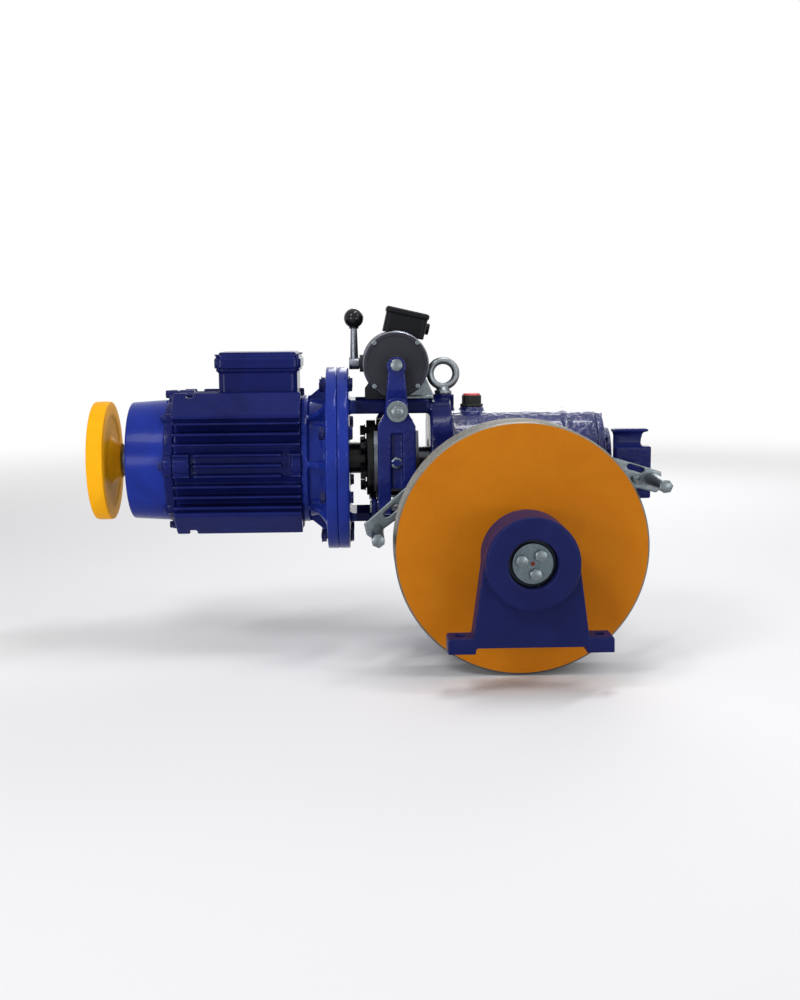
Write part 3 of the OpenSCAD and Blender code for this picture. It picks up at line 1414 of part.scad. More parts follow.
// Section of the coil: a crescent whose twist makes a round wire.
module coil(turn_count) {
  pitch = (spring_len - 1) / turn_count;
  reach = spring_wire / 2 / pitch * 360;
  mid_r = spring_d / 2 - spring_wire / 2;
  half = [for (i = [-3:3]) [i / 3 * reach, sqrt(1 - i * i / 9.2) * spring_wire / 2]];
  linear_extrude(spring_len - 1, twist = -360 * turn_count, slices = turn_count * 12, $fn = 6)
    polygon(concat([for (p = half) (mid_r + p[1]) * [cos(p[0]), sin(p[0])]],
      [for (i = [6:-1:0]) (mid_r - half[i][1]) * [cos(half[i][0]), sin(half[i][0])]]));
}

module brake_spring_front() {
  color(grey_dark) outward(-1, spring_seat + 0.5, spring_h) coil(4);
}

module brake_spring_rear() {
  color(grey_dark) outward(1, spring_seat + 0.5, spring_h) coil(4);
}

// Magnet
module magnet_bracket() {
  plate_t = 5;
  color(zinc) difference() {
    union() {
      translate([-brake_x - 52, -42, worm_z + top_arm_high]) cube([118, 84, plate_t]);
      for (y = [-34, 40]) {
        outward(-1, -y, top_arm_high) linear_extrude(6) {
          polygon([[18, 0], [66, 0], [66, 8], [54, 34], [40, 40], [18, 12]]);
          polygon([[-18, 0], [-52, 0], [-52, 16], [-42, 30], [-18, 12]]);
        }
      }
    }
    across_magnet(60) rod(120, magnet_r + seat_gap);
  }
}

module magnet_body() {
  color(grey_dark) difference() {
    union() {
      across_magnet(magnet_tube_half) rod(2 * magnet_tube_half, magnet_r);
      along_lever(-brake_x - magnet_r - 5) rod(12, 15);
    }
    across_magnet(magnet_tube_half + 1) rod(magnet_tube_half + 1 - 15, magnet_r - 9);
    across_magnet(-15) rod(magnet_tube_half, magnet_r - 9);
    across_magnet(20) rod(40, plunger_d / 2 + run_gap + 4);
    along_lever(-brake_x - magnet_r - 10) rod(magnet_r + 10, 8 + run_gap);
    for (y = [-1, 1]) {
      across_magnet(y * (magnet_tube_half - 9) + 9.5) around(4, 45)
        translate([magnet_screw_circle_d / 2, 0, 0])
        rod(19, 2.55);
    }
  }
}

module magnet_caps() {
  for (side = [-1, 1]) {
    outward(side, magnet_tube_half, magnet_h) {
      color(grey_dark) difference() {
        union() {
          rod(magnet_cap_t - 2, magnet_r);
          translate([0, 0, magnet_cap_t - 2.01]) cylinder(h = 2.01, r1 = magnet_r, r2 = magnet_r - 2);
        }
        translate([0, 0, -1]) rod(magnet_cap_t + 2, plunger_pin_d / 2 + run_gap);
        translate([0, 0, -1]) around(4, 45) translate([magnet_screw_circle_d / 2, 0, 0])
          rod(magnet_cap_t + 2, 2.7);
      }
      color(zinc) around(4, 45) translate([magnet_screw_circle_d / 2, 0, magnet_cap_t - 2]) {
        translate([0, 0, -magnet_cap_t - 4]) rod(magnet_cap_t + 4.5, 2.5);
        difference() {
          translate([0, 0, 2]) rod(3.4, 4.2);
          translate([0, 0, 3.6]) cylinder(h = 2, r = 2.3, $fn = 6);
        }
        rod(2.2, 2.5);
      }
    }
  }
}

module magnet_coils() {
  color(copper) for (side = [-1, 1]) {
    outward(side, 15.3, magnet_h) ring(magnet_r - 9.4, plunger_d / 2 + 0.4, magnet_tube_half - 15.6);
  }
}

module plunger() {
  across_magnet(-12) rod(magnet_tube_half - 16, plunger_d / 2);
  across_magnet(5 - magnet_tube_half) rod(plunger_tip - magnet_tube_half + 5, plunger_pin_d / 2);
}

module plunger_front() {
  color(steel) plunger();
}

module plunger_rear() {
  color(steel) mirror([0, 1, 0]) plunger();
}

module release_lever() {
  color(grey_dark) {
    along_lever(lever_x - 18) rod(18, 10.5);
    along_lever(lever_x - 1) rod(48, 8);
    translate([-brake_x - 15, -11.4, worm_z + magnet_h - 7.6]) cube([30, 22.8, 15.2]);
    translate([lever_x - 9, 0, worm_z + magnet_h]) cylinder(h = lever_len - 8, r1 = 7, r2 = 5.4);
  }
}

module lever_knob() {
  color(black) difference() {
    union() {
      translate([lever_x - 9, 0, worm_z + magnet_h + lever_len]) sphere(r = knob_d / 2);
      translate([lever_x - 9, 0, worm_z + magnet_h + lever_len - knob_d / 2 - 1]) rod(8, 8.5);
    }
    translate([lever_x - 9, 0, worm_z + magnet_h]) rod(lever_len - 7.7, 7.3);
  }
}

module magnet_terminal_box() {
  foot = magnet_r - 6;
  color(black) translate([-brake_x, 0, worm_z + magnet_h]) rotate([0, magnet_box_lean, 0]) difference() {
    union() {
      translate([3.4, 0, foot]) linear_extrude(94 - foot - 9) rounded_rect(magnet_box_w, 66, 8);
      translate([3.4, 0, 94 - 9]) linear_extrude(7) rounded_rect(magnet_box_w + 4, 70, 9);
      translate([3.4, 0, 94 - 2.01]) linear_extrude(2.01) rounded_rect(magnet_box_w, 66, 8);
      translate([3.4 + magnet_box_w / 2 - 2, 0, foot + 20]) rotate([0, 90, 0]) rod(9, 10);
    }
    translate([3.4, 0, foot + 12]) linear_extrude(94 - foot - 17) rounded_rect(magnet_box_w - 8, 58, 5);
    translate([3.4 + magnet_box_w / 2 - 6, 0, foot + 20]) rotate([0, 90, 0]) rod(20, 6.5);
    translate([0, 50, 0]) rotate([90, 0, 0]) rod(100, magnet_r + 0.3);
  }
}

// Fittings
module eye_bolt() {
  color(zinc) translate([-eye_x, 0, worm_z + eye_boss_h]) {
    translate([0, 0, -22]) rod(23, 8);
    rod(6, 15);
    translate([0, 0, 5.99]) cylinder(h = 6, r1 = 13, r2 = 7);
    translate([0, 0, eye_ring_h - eye_boss_h]) rotate([90, 0, 0]) rotate_extrude()
      translate([(eye_ring_d - eye_wire) / 2, 0]) circle(r = eye_wire / 2);
  }
}

module oil_filler_cap() {
  color(black) translate([-filler_x, 0, worm_z + filler_seat_h]) {
    translate([0, 0, -16]) rod(17, 13);
    rod(5, filler_cap_d / 2 + 3);
    difference() {
      translate([0, 0, 4.9]) rod(15, filler_cap_d / 2);
      around(12) translate([filler_cap_d / 2 + 1.6, 0, 7]) rod(14, 3);
    }
    translate([0, 0, 19.8]) cylinder(h = 3.2, r1 = filler_cap_d / 2 - 1, r2 = filler_cap_d / 2 - 3);
  }
}

module oil_plugs() {
  color(zinc) {
    translate([plug_x, -wheel_case_half, plug_z]) rotate([90, 0, 0]) hex_bolt(9, 14, 22, 7, 14, 2);
    translate([wheel_case_r, 0, base_t + 16]) rotate([0, 90, 0]) hex_bolt(9, 14, 22, 7, 14, 2);
  }
}

module guard_plate(points, slot_at, slot_turn, bolt_at, rod_at) {
  translate([0, -guard_y, 0]) rotate([90, 0, 0]) linear_extrude(guard_t) difference() {
    polygon(points);
    translate(slot_at) rotate(slot_turn) {
      square([20, 9], center = true);
      for (x = [-10, 10]) {
        translate([x, 0]) circle(r = 4.5);
      }
    }
    translate(bolt_at) circle(r = 4.3);
    translate(rod_at) circle(r = 6 + seat_gap);
  }
}

module rope_guards() {
  z = slow_axis_h;
  color(zinc) {
    guard_plate([[-118, z + 92], [-152, z + 96], guard_left + [46, 71], guard_left + [-22, 12],
      guard_left + [-18, -6], guard_left + [-10, -12], guard_left + [28, 16], [-160, z + 62], [-118, z + 60]],
      guard_left + [24, 34], 40, [-135, z + 77], guard_left);
    guard_plate([[160, z + 136], [169, z + 134], guard_right + [16, 12], guard_right + [18, -15],
      guard_right + [8, -23], guard_right + [-21, -15], guard_right + [-40, -17], [160, z + 96]],
      guard_right + [-27, 18], -17, [199, z + 100], guard_right);
  }
}

module guard_rods() {
  color(zinc) for (spot = [guard_left, guard_right]) {
    translate([spot[0], -guard_y, spot[1]]) rotate([90, 0, 0]) {
      translate([0, 0, -14]) rod(guard_t + 15, 6);
      translate([0, 0, guard_t]) rod(guard_rod_len, guard_rod_d / 2);
      mirror([0, 0, 1]) hex_head(18, 8, 11, 2);
      translate([0, 0, guard_t + guard_rod_len]) hex_head(14, 5);
    }
  }
}

gear_housing();
side_cover();
housing_bolts();
worm_end_cover();
worm_end_cap();
motor_flange();
flange_bolts();
motor_frame();
stator_core();
stator_windings();
rear_endshield();
motor_screws();
fan_cover();
terminal_box();
terminal_box_lid();
terminal_block();
fast_bearing_rings();
slow_bearing_rings();
shaft_seals();
eye_bolt();
oil_filler_cap();
oil_plugs();
rope_guards();
guard_rods();
pedestal();
magnet_bracket();
magnet_body();
magnet_caps();
magnet_coils();
magnet_terminal_box();
pivot_pins();
spring_studs();
brake_spring_front();
brake_spring_rear();
handwheel();
handwheel_bolt();
cooling_fan();
motor_shaft();
rotor_core();
coupling_half();
coupling_pins();
brake_drum();
worm_shaft();
worm();
fast_bearing_races();
sheave();
slow_shaft();
worm_wheel();
wheel_hub();
shaft_end_plate();
end_plate_bolts();
slow_bearing_races();
brake_arm_front();
brake_shoe_front();
brake_arm_rear();
brake_shoe_rear();
plunger_front();
plunger_rear();
release_lever();
lever_knob();
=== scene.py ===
import json
import math

import bmesh
import bpy
from mathutils import Matrix, Vector


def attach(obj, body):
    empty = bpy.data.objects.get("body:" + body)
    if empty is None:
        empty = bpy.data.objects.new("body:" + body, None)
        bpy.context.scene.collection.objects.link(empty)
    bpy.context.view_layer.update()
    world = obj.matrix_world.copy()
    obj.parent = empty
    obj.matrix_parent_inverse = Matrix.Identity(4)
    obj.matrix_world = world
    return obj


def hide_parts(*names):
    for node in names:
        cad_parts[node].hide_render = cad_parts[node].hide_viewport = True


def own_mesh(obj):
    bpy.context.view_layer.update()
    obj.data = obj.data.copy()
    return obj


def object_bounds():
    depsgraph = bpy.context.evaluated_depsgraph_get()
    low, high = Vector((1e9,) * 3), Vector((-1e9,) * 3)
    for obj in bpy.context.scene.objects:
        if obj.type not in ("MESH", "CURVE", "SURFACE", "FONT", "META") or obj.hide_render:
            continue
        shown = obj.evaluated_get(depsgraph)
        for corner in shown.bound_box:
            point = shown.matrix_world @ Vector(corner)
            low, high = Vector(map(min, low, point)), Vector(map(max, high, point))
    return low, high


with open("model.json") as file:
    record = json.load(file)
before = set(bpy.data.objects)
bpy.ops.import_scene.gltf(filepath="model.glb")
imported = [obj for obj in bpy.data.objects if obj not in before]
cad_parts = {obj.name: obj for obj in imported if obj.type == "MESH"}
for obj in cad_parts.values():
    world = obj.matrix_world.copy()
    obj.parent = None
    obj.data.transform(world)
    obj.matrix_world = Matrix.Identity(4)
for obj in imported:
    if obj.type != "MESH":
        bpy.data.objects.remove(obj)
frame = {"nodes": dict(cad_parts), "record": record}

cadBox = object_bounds()
scene = bpy.context.scene
scene.view_settings.view_transform = "Standard"
jointPlaces = {joint["name"]: joint.get("pos_m") for joint in frame["record"]["behaviour"]["joints"]}
wormZ = jointPlaces["worm_spin"][2]        # motor and worm axis
slowZ = jointPlaces["sheave_spin"][2]      # sheave axis
brakeX = jointPlaces["arm_front_open"][0]  # plane of the drum brake
magnetZ = jointPlaces["lever_turn"][2]
allRound = 2 * math.pi

def read(values, names):
    return (values[name] for name in names.split())


# camera
cameraSet = {"place": (-0.2563, -2.2570, 0.4914), "turn": 1.78, "dip": 7.64, "tilt": -0.5,
             "lens": 57.89, "sensor": 36.0, "farEnd": 60.0}


def standCamera(values):
    turn, dip, tilt = (math.radians(angle) for angle in read(values, "turn dip tilt"))
    level = Vector((math.sin(turn), math.cos(turn), 0))
    side = Vector((math.cos(turn), -math.sin(turn), 0))
    ahead = level * math.cos(dip) - Vector((0, 0, math.sin(dip)))
    head = Vector((0, 0, math.cos(dip))) + level * math.sin(dip)
    right = side * math.cos(tilt) + head * math.sin(tilt)
    upward = head * math.cos(tilt) - side * math.sin(tilt)
    data = bpy.data.cameras.new("machineCamera")
    data.sensor_fit = "HORIZONTAL"
    data.sensor_width = values["sensor"]
    data.lens = values["lens"]
    data.clip_end = values["farEnd"]
    camera = bpy.data.objects.new("machineCamera", data)
    scene.collection.objects.link(camera)
    facing = Matrix((right, upward, -ahead)).transposed().to_4x4()
    camera.matrix_world = Matrix.Translation(values["place"]) @ facing
    scene.camera = camera


standCamera(cameraSet)
print("camera stands")

# floor, lamps and world
studio = {
    "floorZ": cadBox[0][2] - 0.002,
    "floorMiddle": (-0.2, 0),
    "floorRadius": 5.0,
    "floorTone": (0.80, 0.80, 0.82),
    "floorFade": (1.3, 4.6),  # the floor thins out between these distances
    "floorGrain": {"scale": 900.0, "strength": 0.04, "height": 0.001},
    "aim": (-0.15, 0, 0.2),
    "ambient": 0.42,
    "lamps": [  # name, place, size and power
        ("keyLight", (-1.5, -1.7, 2.2), (0.9, 0.7), 24),
        ("leftFill", (-2.0, -2.8, 0.5), (1.2, 0.8), 27),
        ("rightFill", (1.5, -3.0, 0.35), (1.6, 0.7), 18),
        ("topStrip", (0.1, -0.2, 1.9), (1.0, 0.16), 11),
        ("sideStrip", (1.3, -0.9, 1.7), (0.2, 1.2), 7),
        ("backFill", (0.6, 2.6, 1.6), (2.0, 1.4), 34),
    ],
}


def put(tree, kind, settings=None, **sockets):
    node = tree.nodes.new(kind)
    for key, value in (settings or {}).items():
        setattr(node, key, value)
    for key, value in sockets.items():
        numbered = key[0] == "n" and key[1:].isdigit()
        socket = node.inputs[int(key[1:])] if numbered else node.inputs[key.replace("_", " ")]
        if isinstance(value, bpy.types.NodeSocket):
            tree.links.new(value, socket)
        else:
            socket.default_value = value
    return node


def maths(tree, operation, first, second=0.0, clamp=False):
    settings = {"operation": operation, "use_clamp": clamp}
    return put(tree, "ShaderNodeMath", settings, n0=first, n1=second).outputs[0]


def spread(tree, value, low, high, smooth=False):
    # 0 at low, 1 at high
    settings = {"interpolation_type": "SMOOTHSTEP" if smooth else "LINEAR"}
    return put(tree, "ShaderNodeMapRange", settings, Value=value, n1=low, n2=high).outputs[0]


def startMaterial(name):
    material = bpy.data.materials.new(name)
    material.use_nodes = True
    tree = material.node_tree
    tree.nodes.clear()
    return material, tree


def hangLamps(values):
    for name, place, size, power in values["lamps"]:
        data = bpy.data.lights.new(name, "AREA")
        data.shape = "RECTANGLE"
        data.size, data.size_y = size
        data.energy = power
        holder = bpy.data.objects.new(name, data)
        scene.collection.objects.link(holder)
        aim = Vector(values["aim"]) - Vector(place)
        holder.location = place
        holder.rotation_euler = aim.to_track_quat("-Z", "Y").to_euler()


def paintWorld(values):
    world = bpy.data.worlds.new("paleStudio")
    scene.world = world
    world.use_nodes = True
    tree = world.node_tree
    tree.nodes.clear()
    rays = put(tree, "ShaderNodeLightPath").outputs
    seen = maths(tree, "MAXIMUM", rays["Is Camera Ray"], rays["Is Transmission Ray"])
    seen = maths(tree, "MAXIMUM", seen, rays["Is Glossy Ray"])
    ambient = put(tree, "ShaderNodeBackground", Color=(1, 1, 1, 1), Strength=values["ambient"])
    white = put(tree, "ShaderNodeBackground", Color=(1, 1, 1, 1), Strength=1.0)
    mixed = put(tree, "ShaderNodeMixShader", n0=seen, n1=ambient.outputs[0], n2=white.outputs[0])
    put(tree, "ShaderNodeOutputWorld", Surface=mixed.outputs[0])


def layFloor(values):
    mesh = bmesh.new()
    bmesh.ops.create_circle(mesh, cap_ends=True, segments=96, radius=values["floorRadius"])
    bmesh.ops.translate(mesh, verts=mesh.verts, vec=(*values["floorMiddle"], values["floorZ"]))
    data = bpy.data.meshes.new("paleFloor")
    mesh.to_mesh(data)
    mesh.free()
    floor = bpy.data.objects.new("paleFloor", data)
    scene.collection.objects.link(floor)
    material, tree = startMaterial("floorPaper")
    place = put(tree, "ShaderNodeTexCoord").outputs["Object"]
    reach = put(tree, "ShaderNodeVectorMath", {"operation": "LENGTH"}, n0=place).outputs["Value"]
    fade = spread(tree, reach, *values["floorFade"], smooth=True)
    grain = values["floorGrain"]
    specks = put(tree, "ShaderNodeTexNoise", Vector=place, Scale=grain["scale"], Detail=2.0).outputs["Fac"]
    bump = put(tree, "ShaderNodeBump", Height=specks, Strength=grain["strength"], Distance=grain["height"])
    paper = put(tree, "ShaderNodeBsdfPrincipled", Base_Color=(*values["floorTone"], 1), Roughness=0.8,
                Normal=bump.outputs[0])
    clear = put(tree, "ShaderNodeBsdfTransparent")
    mixed = put(tree, "ShaderNodeMixShader", n0=fade, n1=paper.outputs[0], n2=clear.outputs[0])
    put(tree, "ShaderNodeOutputMaterial", Surface=mixed.outputs[0])
    data.materials.append(material)


hangLamps(studio)
paintWorld(studio)
layFloor(studio)
print("studio is lit")


# shared effects
def startGroup(name, inputs, outputs):
    tree = bpy.data.node_groups.new(name, "ShaderNodeTree")
    for label, value in inputs.items():
        kind = "Float" if isinstance(value, float) else "Vector" if len(value) == 3 else "Color"
        tree.interface.new_socket(label, in_out="INPUT", socket_type="NodeSocket" + kind).default_value = value
    for label, kind in outputs.items():
        tree.interface.new_socket(label, in_out="OUTPUT", socket_type="NodeSocket" + kind)
    return tree, tree.nodes.new("NodeGroupInput").outputs, tree.nodes.new("NodeGroupOutput").inputs


def endGroup(tree, out, **results):
    for label, socket in results.items():
        tree.links.new(socket, out[label])
    return tree


def mixColour(tree, share, first, second):
    return put(tree, "ShaderNodeMix", {"data_type": "RGBA"}, n0=share, n6=first, n7=second).outputs[2]


def scaled(tree, value, share):
    return maths(tree, "MULTIPLY", value, share)


def objectPlace(tree):
    return put(tree, "ShaderNodeTexCoord").outputs["Object"]


def noise(tree, **sockets):
    return put(tree, "ShaderNodeTexNoise", Vector=objectPlace(tree), **sockets).outputs["Fac"]


def buildPaintTone():
    blue = (0.1, 0.1, 0.5, 1.0)
    inputs = {"paint": blue, "thin": blue, "patchScale": 9.0, "patchShare": 0.4}
    tree, given, out = startGroup("paintTone", inputs, {"tone": "Color", "patch": "Float"})
    patches = noise(tree, Scale=given["patchScale"], Detail=5.0, Roughness=0.62, Distortion=0.6)
    fine = noise(tree, Scale=310.0, Detail=2.0, Roughness=0.5)
    blended = maths(tree, "ADD", scaled(tree, patches, 0.8), scaled(tree, fine, 0.2))
    patch = spread(tree, blended, 0.34, 0.68)
    share = scaled(tree, patch, given["patchShare"])
    return endGroup(tree, out, tone=mixColour(tree, share, given["paint"], given["thin"]), patch=patch)


def buildCastRelief():
    inputs = {"lumpScale": 70.0, "lumpShare": 0.6, "peelScale": 420.0, "peelShare": 0.25}
    tree, given, out = startGroup("castRelief", inputs, {"height": "Float"})
    lumps = noise(tree, Scale=given["lumpScale"], Detail=3.0, Roughness=0.55, Distortion=0.3)
    peel = noise(tree, Scale=given["peelScale"], Detail=1.0, Roughness=0.4)
    height = maths(tree, "ADD", scaled(tree, lumps, given["lumpShare"]), scaled(tree, peel, given["peelShare"]))
    return endGroup(tree, out, height=height)


def buildSettledDust():
    tree, given, out = startGroup("settledDust", {"amount": 0.3, "scale": 26.0}, {"mask": "Float"})
    normal = put(tree, "ShaderNodeNewGeometry").outputs["Normal"]
    upward = put(tree, "ShaderNodeSeparateXYZ", n0=normal).outputs["Z"]
    facing = spread(tree, upward, 0.35, 1.0, smooth=True)
    cloud = noise(tree, Scale=given["scale"], Detail=6.0, Roughness=0.7)
    settled = scaled(tree, facing, spread(tree, cloud, 0.35, 0.75))
    return endGroup(tree, out, mask=maths(tree, "MULTIPLY", settled, given["amount"], True))


# edges found by pointiness: worn paint on most parts, and on the pedestal a painted highlight line
def buildWornEdgeAndHighlight():
    tree, given, out = startGroup("wornEdgeAndHighlight", {"start": 0.54, "amount": 0.5}, {"mask": "Float"})
    point = put(tree, "ShaderNodeNewGeometry").outputs["Pointiness"]
    ridge = spread(tree, point, given["start"], maths(tree, "ADD", given["start"], 0.07))
    chips = noise(tree, Scale=95.0, Detail=5.0, Roughness=0.7)
    wornAndLit = scaled(tree, ridge, spread(tree, chips, 0.42, 0.6))
    return endGroup(tree, out, mask=maths(tree, "MULTIPLY", wornAndLit, given["amount"], True))


def buildTurnedMarks():
    inputs = {"centre": (0.0, 0.0, 0.0), "axis": (1.0, 0.0, 0.0), "pitch": 900.0}
    tree, given, out = startGroup("turnedMarks", inputs, {"marks": "Float"})
    vectorMath = "ShaderNodeVectorMath"
    arm = put(tree, vectorMath, {"operation": "SUBTRACT"}, n0=objectPlace(tree), n1=given["centre"]).outputs[0]
    cross = put(tree, vectorMath, {"operation": "CROSS_PRODUCT"}, n0=arm, n1=given["axis"]).outputs[0]
    radius = put(tree, vectorMath, {"operation": "LENGTH"}, n0=cross).outputs["Value"]
    along = put(tree, vectorMath, {"operation": "DOT_PRODUCT"}, n0=arm, n1=given["axis"]).outputs["Value"]
    travel = scaled(tree, maths(tree, "ADD", radius, along), given["pitch"])
    lines = put(tree, "ShaderNodeTexNoise", {"noise_dimensions": "1D"}, W=travel, Scale=1.0, Detail=3.0,
                Roughness=0.7)
    return endGroup(tree, out, marks=lines.outputs["Fac"])


def buildZincBloom():
    inputs = {"cellScale": 260.0, "share": 0.5}
    tree, given, out = startGroup("zincBloom", inputs, {"tone": "Float", "height": "Float"})
    cells = put(tree, "ShaderNodeTexVoronoi", Vector=objectPlace(tree), Scale=given["cellScale"])
    cloud = noise(tree, Scale=48.0, Detail=6.0, Roughness=0.7)
    grey = put(tree, "ShaderNodeSeparateColor", n0=cells.outputs["Color"]).outputs[0]
    both = maths(tree, "ADD", scaled(tree, grey, 0.4), scaled(tree, cloud, 0.8))
    return endGroup(tree, out, tone=scaled(tree, both, given["share"]), height=cloud)


effects = {tree.name: tree for tree in (buildPaintTone(), buildCastRelief(), buildSettledDust(),
                                        buildWornEdgeAndHighlight(), buildTurnedMarks(), buildZincBloom())}


def effect(tree, name, **sockets):
    return put(tree, "ShaderNodeGroup", {"node_tree": effects[name]}, **sockets).outputs


# finishes
def tint(red, green, blue):
    # display values to linear ones
    linear = [c / 255 / 12.92 if c <= 10 else ((c / 255 + 0.055) / 1.055) ** 2.4 for c in (red, green, blue)]
    return (*linear, 1.0)


def readTable(names, rows):
    # one dictionary for each row, its triples as tints; a row may leave out the last keys
    keys = names.split()
    return {name: {key: tint(*value) if isinstance(value, tuple) else value for key, value in zip(keys, values)}
            for name, *values in rows}


def closeMaterial(tree, height, relief, deep, **sockets):
    bump = put(tree, "ShaderNodeBump", Height=height, Strength=relief, Distance=deep).outputs[0]
    shader = put(tree, "ShaderNodeBsdfPrincipled", Normal=bump, **sockets)
    put(tree, "ShaderNodeOutputMaterial", Surface=shader.outputs[0])


paints = readTable("paint thin rough gloss coat lump lumps relief dust rub edge", [
    ("castEnamel", (20, 29, 92), (12, 17, 60), 0.14, 0.06, 0.04, 75.0, 0.9, 0.55, 0.01, 0.15),
    # a darker, matte copy of castEnamel for the bell's upward faces: painted shade on the bell top
    ("bellEnamel", (18, 26, 84), (12, 17, 60), 0.6, 0.0, 0.0, 75.0, 0.9, 0.55, 0.01, 0.15),
    ("armEnamel", (28, 40, 118), (16, 23, 78), 0.1, 0.11, 0.1, 85.0, 1.6, 0.9, 0.01, 0.15),
    ("wormEnamel", (24, 33, 104), (13, 16, 56), 0.07, 0.3, 0.35, 95.0, 2.4, 1.0, 0.01, 0.1),
    ("sheetEnamel", (28, 48, 144), (17, 27, 90), 0.2, 0.07, 0.03, 22.0, 0.3, 0.25, 0.01, 0.08),
    ("flangeEnamel", (28, 48, 138), (17, 28, 92), 0.11, 0.08, 0.07, 60.0, 0.5, 0.35, 0.01, 0.12),
    # the pedestal's strong edge amount and lavender edge tone paint a highlight line along its boss and edges
    ("pedestalPaint", (22, 29, 80), (15, 20, 60), 0.34, 0.06, 0.02, 120.0, 0.7, 0.4, 0.01, 0.6, (84, 90, 152)),
    ("sheavePaint", (184, 110, 18), (169, 97, 12), 0.44, 0.05, 0.0, 14.0, 0.25, 0.12, 0.01, 0.0),
    ("wheelPaint", (246, 178, 30), (222, 146, 18), 0.28, 0.01, 0.0, 60.0, 0.35, 0.25, 0.01, 0.1),
    ("magnetPaint", (46, 47, 53), (36, 37, 42), 0.42, 0.1, 0.0, 500.0, 0.3, 0.25, 0.01, 0.15),
    ("boxPaint", (24, 25, 29), (17, 18, 21), 0.36, 0.08, 0.02, 420.0, 0.5, 0.25, 0.02, 0.4),
])
# edge is the tone where the edge mask shows: worn paint, and on the pedestal a painted highlight
paintMix = {"patches": {"patchScale": 9.0, "patchShare": 0.75}, "peel": {"peelScale": 520.0, "peelShare": 0.12},
            "patchRough": 0.08, "dustScale": 30.0, "dustRough": 0.5, "dustTone": tint(168, 164, 160),
            "wearAndHighlightStart": 0.53, "edge": tint(120, 122, 150), "deep": 0.0012, "coatRough": 0.06}


def mixPaint(name, values):
    material, tree = startMaterial(name)
    tone = effect(tree, "paintTone", paint=values["paint"], thin=values["thin"], **paintMix["patches"])
    dust = effect(tree, "settledDust", amount=values["dust"], scale=paintMix["dustScale"])["mask"]
    rub = effect(tree, "wornEdgeAndHighlight", start=paintMix["wearAndHighlightStart"], amount=values["rub"])["mask"]
    dusty = mixColour(tree, dust, tone["tone"], paintMix["dustTone"])
    # edge mask tone: worn paint, and a painted highlight where a row sets a light edge tone
    wornAndHighlit = mixColour(tree, rub, dusty, values.get("edge", paintMix["edge"]))
    height = effect(tree, "castRelief", lumpScale=values["lump"], lumpShare=values["lumps"],
                    **paintMix["peel"])["height"]
    sheen = maths(tree, "ADD", scaled(tree, tone["patch"], paintMix["patchRough"]),
                  scaled(tree, dust, paintMix["dustRough"]))
    rough = maths(tree, "ADD", sheen, values["rough"], True)
    closeMaterial(tree, height, values["relief"], paintMix["deep"], Base_Color=wornAndHighlit, Roughness=rough,
                  Specular_IOR_Level=values["gloss"], Coat_Weight=values["coat"],
                  Coat_Roughness=paintMix["coatRough"])
    return material


metals = readTable("light dark rough metallic cells", [
    ("zincPlate", (126, 135, 139), (82, 90, 94), 0.32, 1.0, 300.0),
    ("forgedZinc", (146, 152, 156), (100, 106, 110), 0.36, 1.0, 120.0),
    ("groundSteel", (138, 141, 146), (98, 101, 106), 0.28, 1.0, 500.0),
    ("rimEdge", (132, 130, 124), (94, 92, 87), 0.3, 1.0, 700.0),
    ("castIron", (80, 78, 76), (50, 49, 48), 0.6, 0.7, 700.0),
    ("wheelBronze", (196, 150, 78), (148, 104, 48), 0.3, 1.0, 380.0),
    ("coilCopper", (178, 96, 52), (116, 54, 28), 0.35, 0.7, 640.0),
    ("springSteel", (52, 53, 58), (30, 31, 35), 0.34, 0.9, 400.0),
    ("coreSheet", (112, 114, 118), (70, 72, 76), 0.5, 0.8, 900.0),
    ("leverSteel", (132, 136, 144), (92, 96, 104), 0.34, 1.0, 420.0),
    ("shoeSteel", (96, 99, 106), (62, 65, 72), 0.36, 1.0, 500.0),
    # near-black steel for the slow bearing rings: painted shade in the gap between end plate and pedestal bore
    ("darkSteel", (42, 44, 54), (22, 24, 32), 0.3, 0.9, 500.0),
    ("plateSteel", (98, 111, 117), (68, 77, 82), 0.3, 1.0, 500.0),
])
metalMix = {"bloom": 0.85, "bloomRough": 0.16, "polish": 0.05, "bloomHeight": 0.3, "markRough": 0.12,
            "relief": 0.3, "deep": 0.0006}


def mixMetal(name, values, turned=None):
    material, tree = startMaterial(name)
    bloom = effect(tree, "zincBloom", cellScale=values["cells"], share=metalMix["bloom"])
    colour = mixColour(tree, bloom["tone"], values["light"], values["dark"])
    height, cloudy = bloom["height"], scaled(tree, bloom["tone"], metalMix["bloomRough"])
    rough = maths(tree, "ADD", cloudy, values["rough"] - metalMix["polish"], True)
    if turned:
        marks = effect(tree, "turnedMarks", **turned)["marks"]
        height = maths(tree, "ADD", scaled(tree, height, metalMix["bloomHeight"]), marks)
        rough = maths(tree, "ADD", rough, scaled(tree, marks, metalMix["markRough"]), True)
    closeMaterial(tree, height, metalMix["relief"], metalMix["deep"], Base_Color=colour, Roughness=rough,
                  Metallic=values["metallic"])
    return material


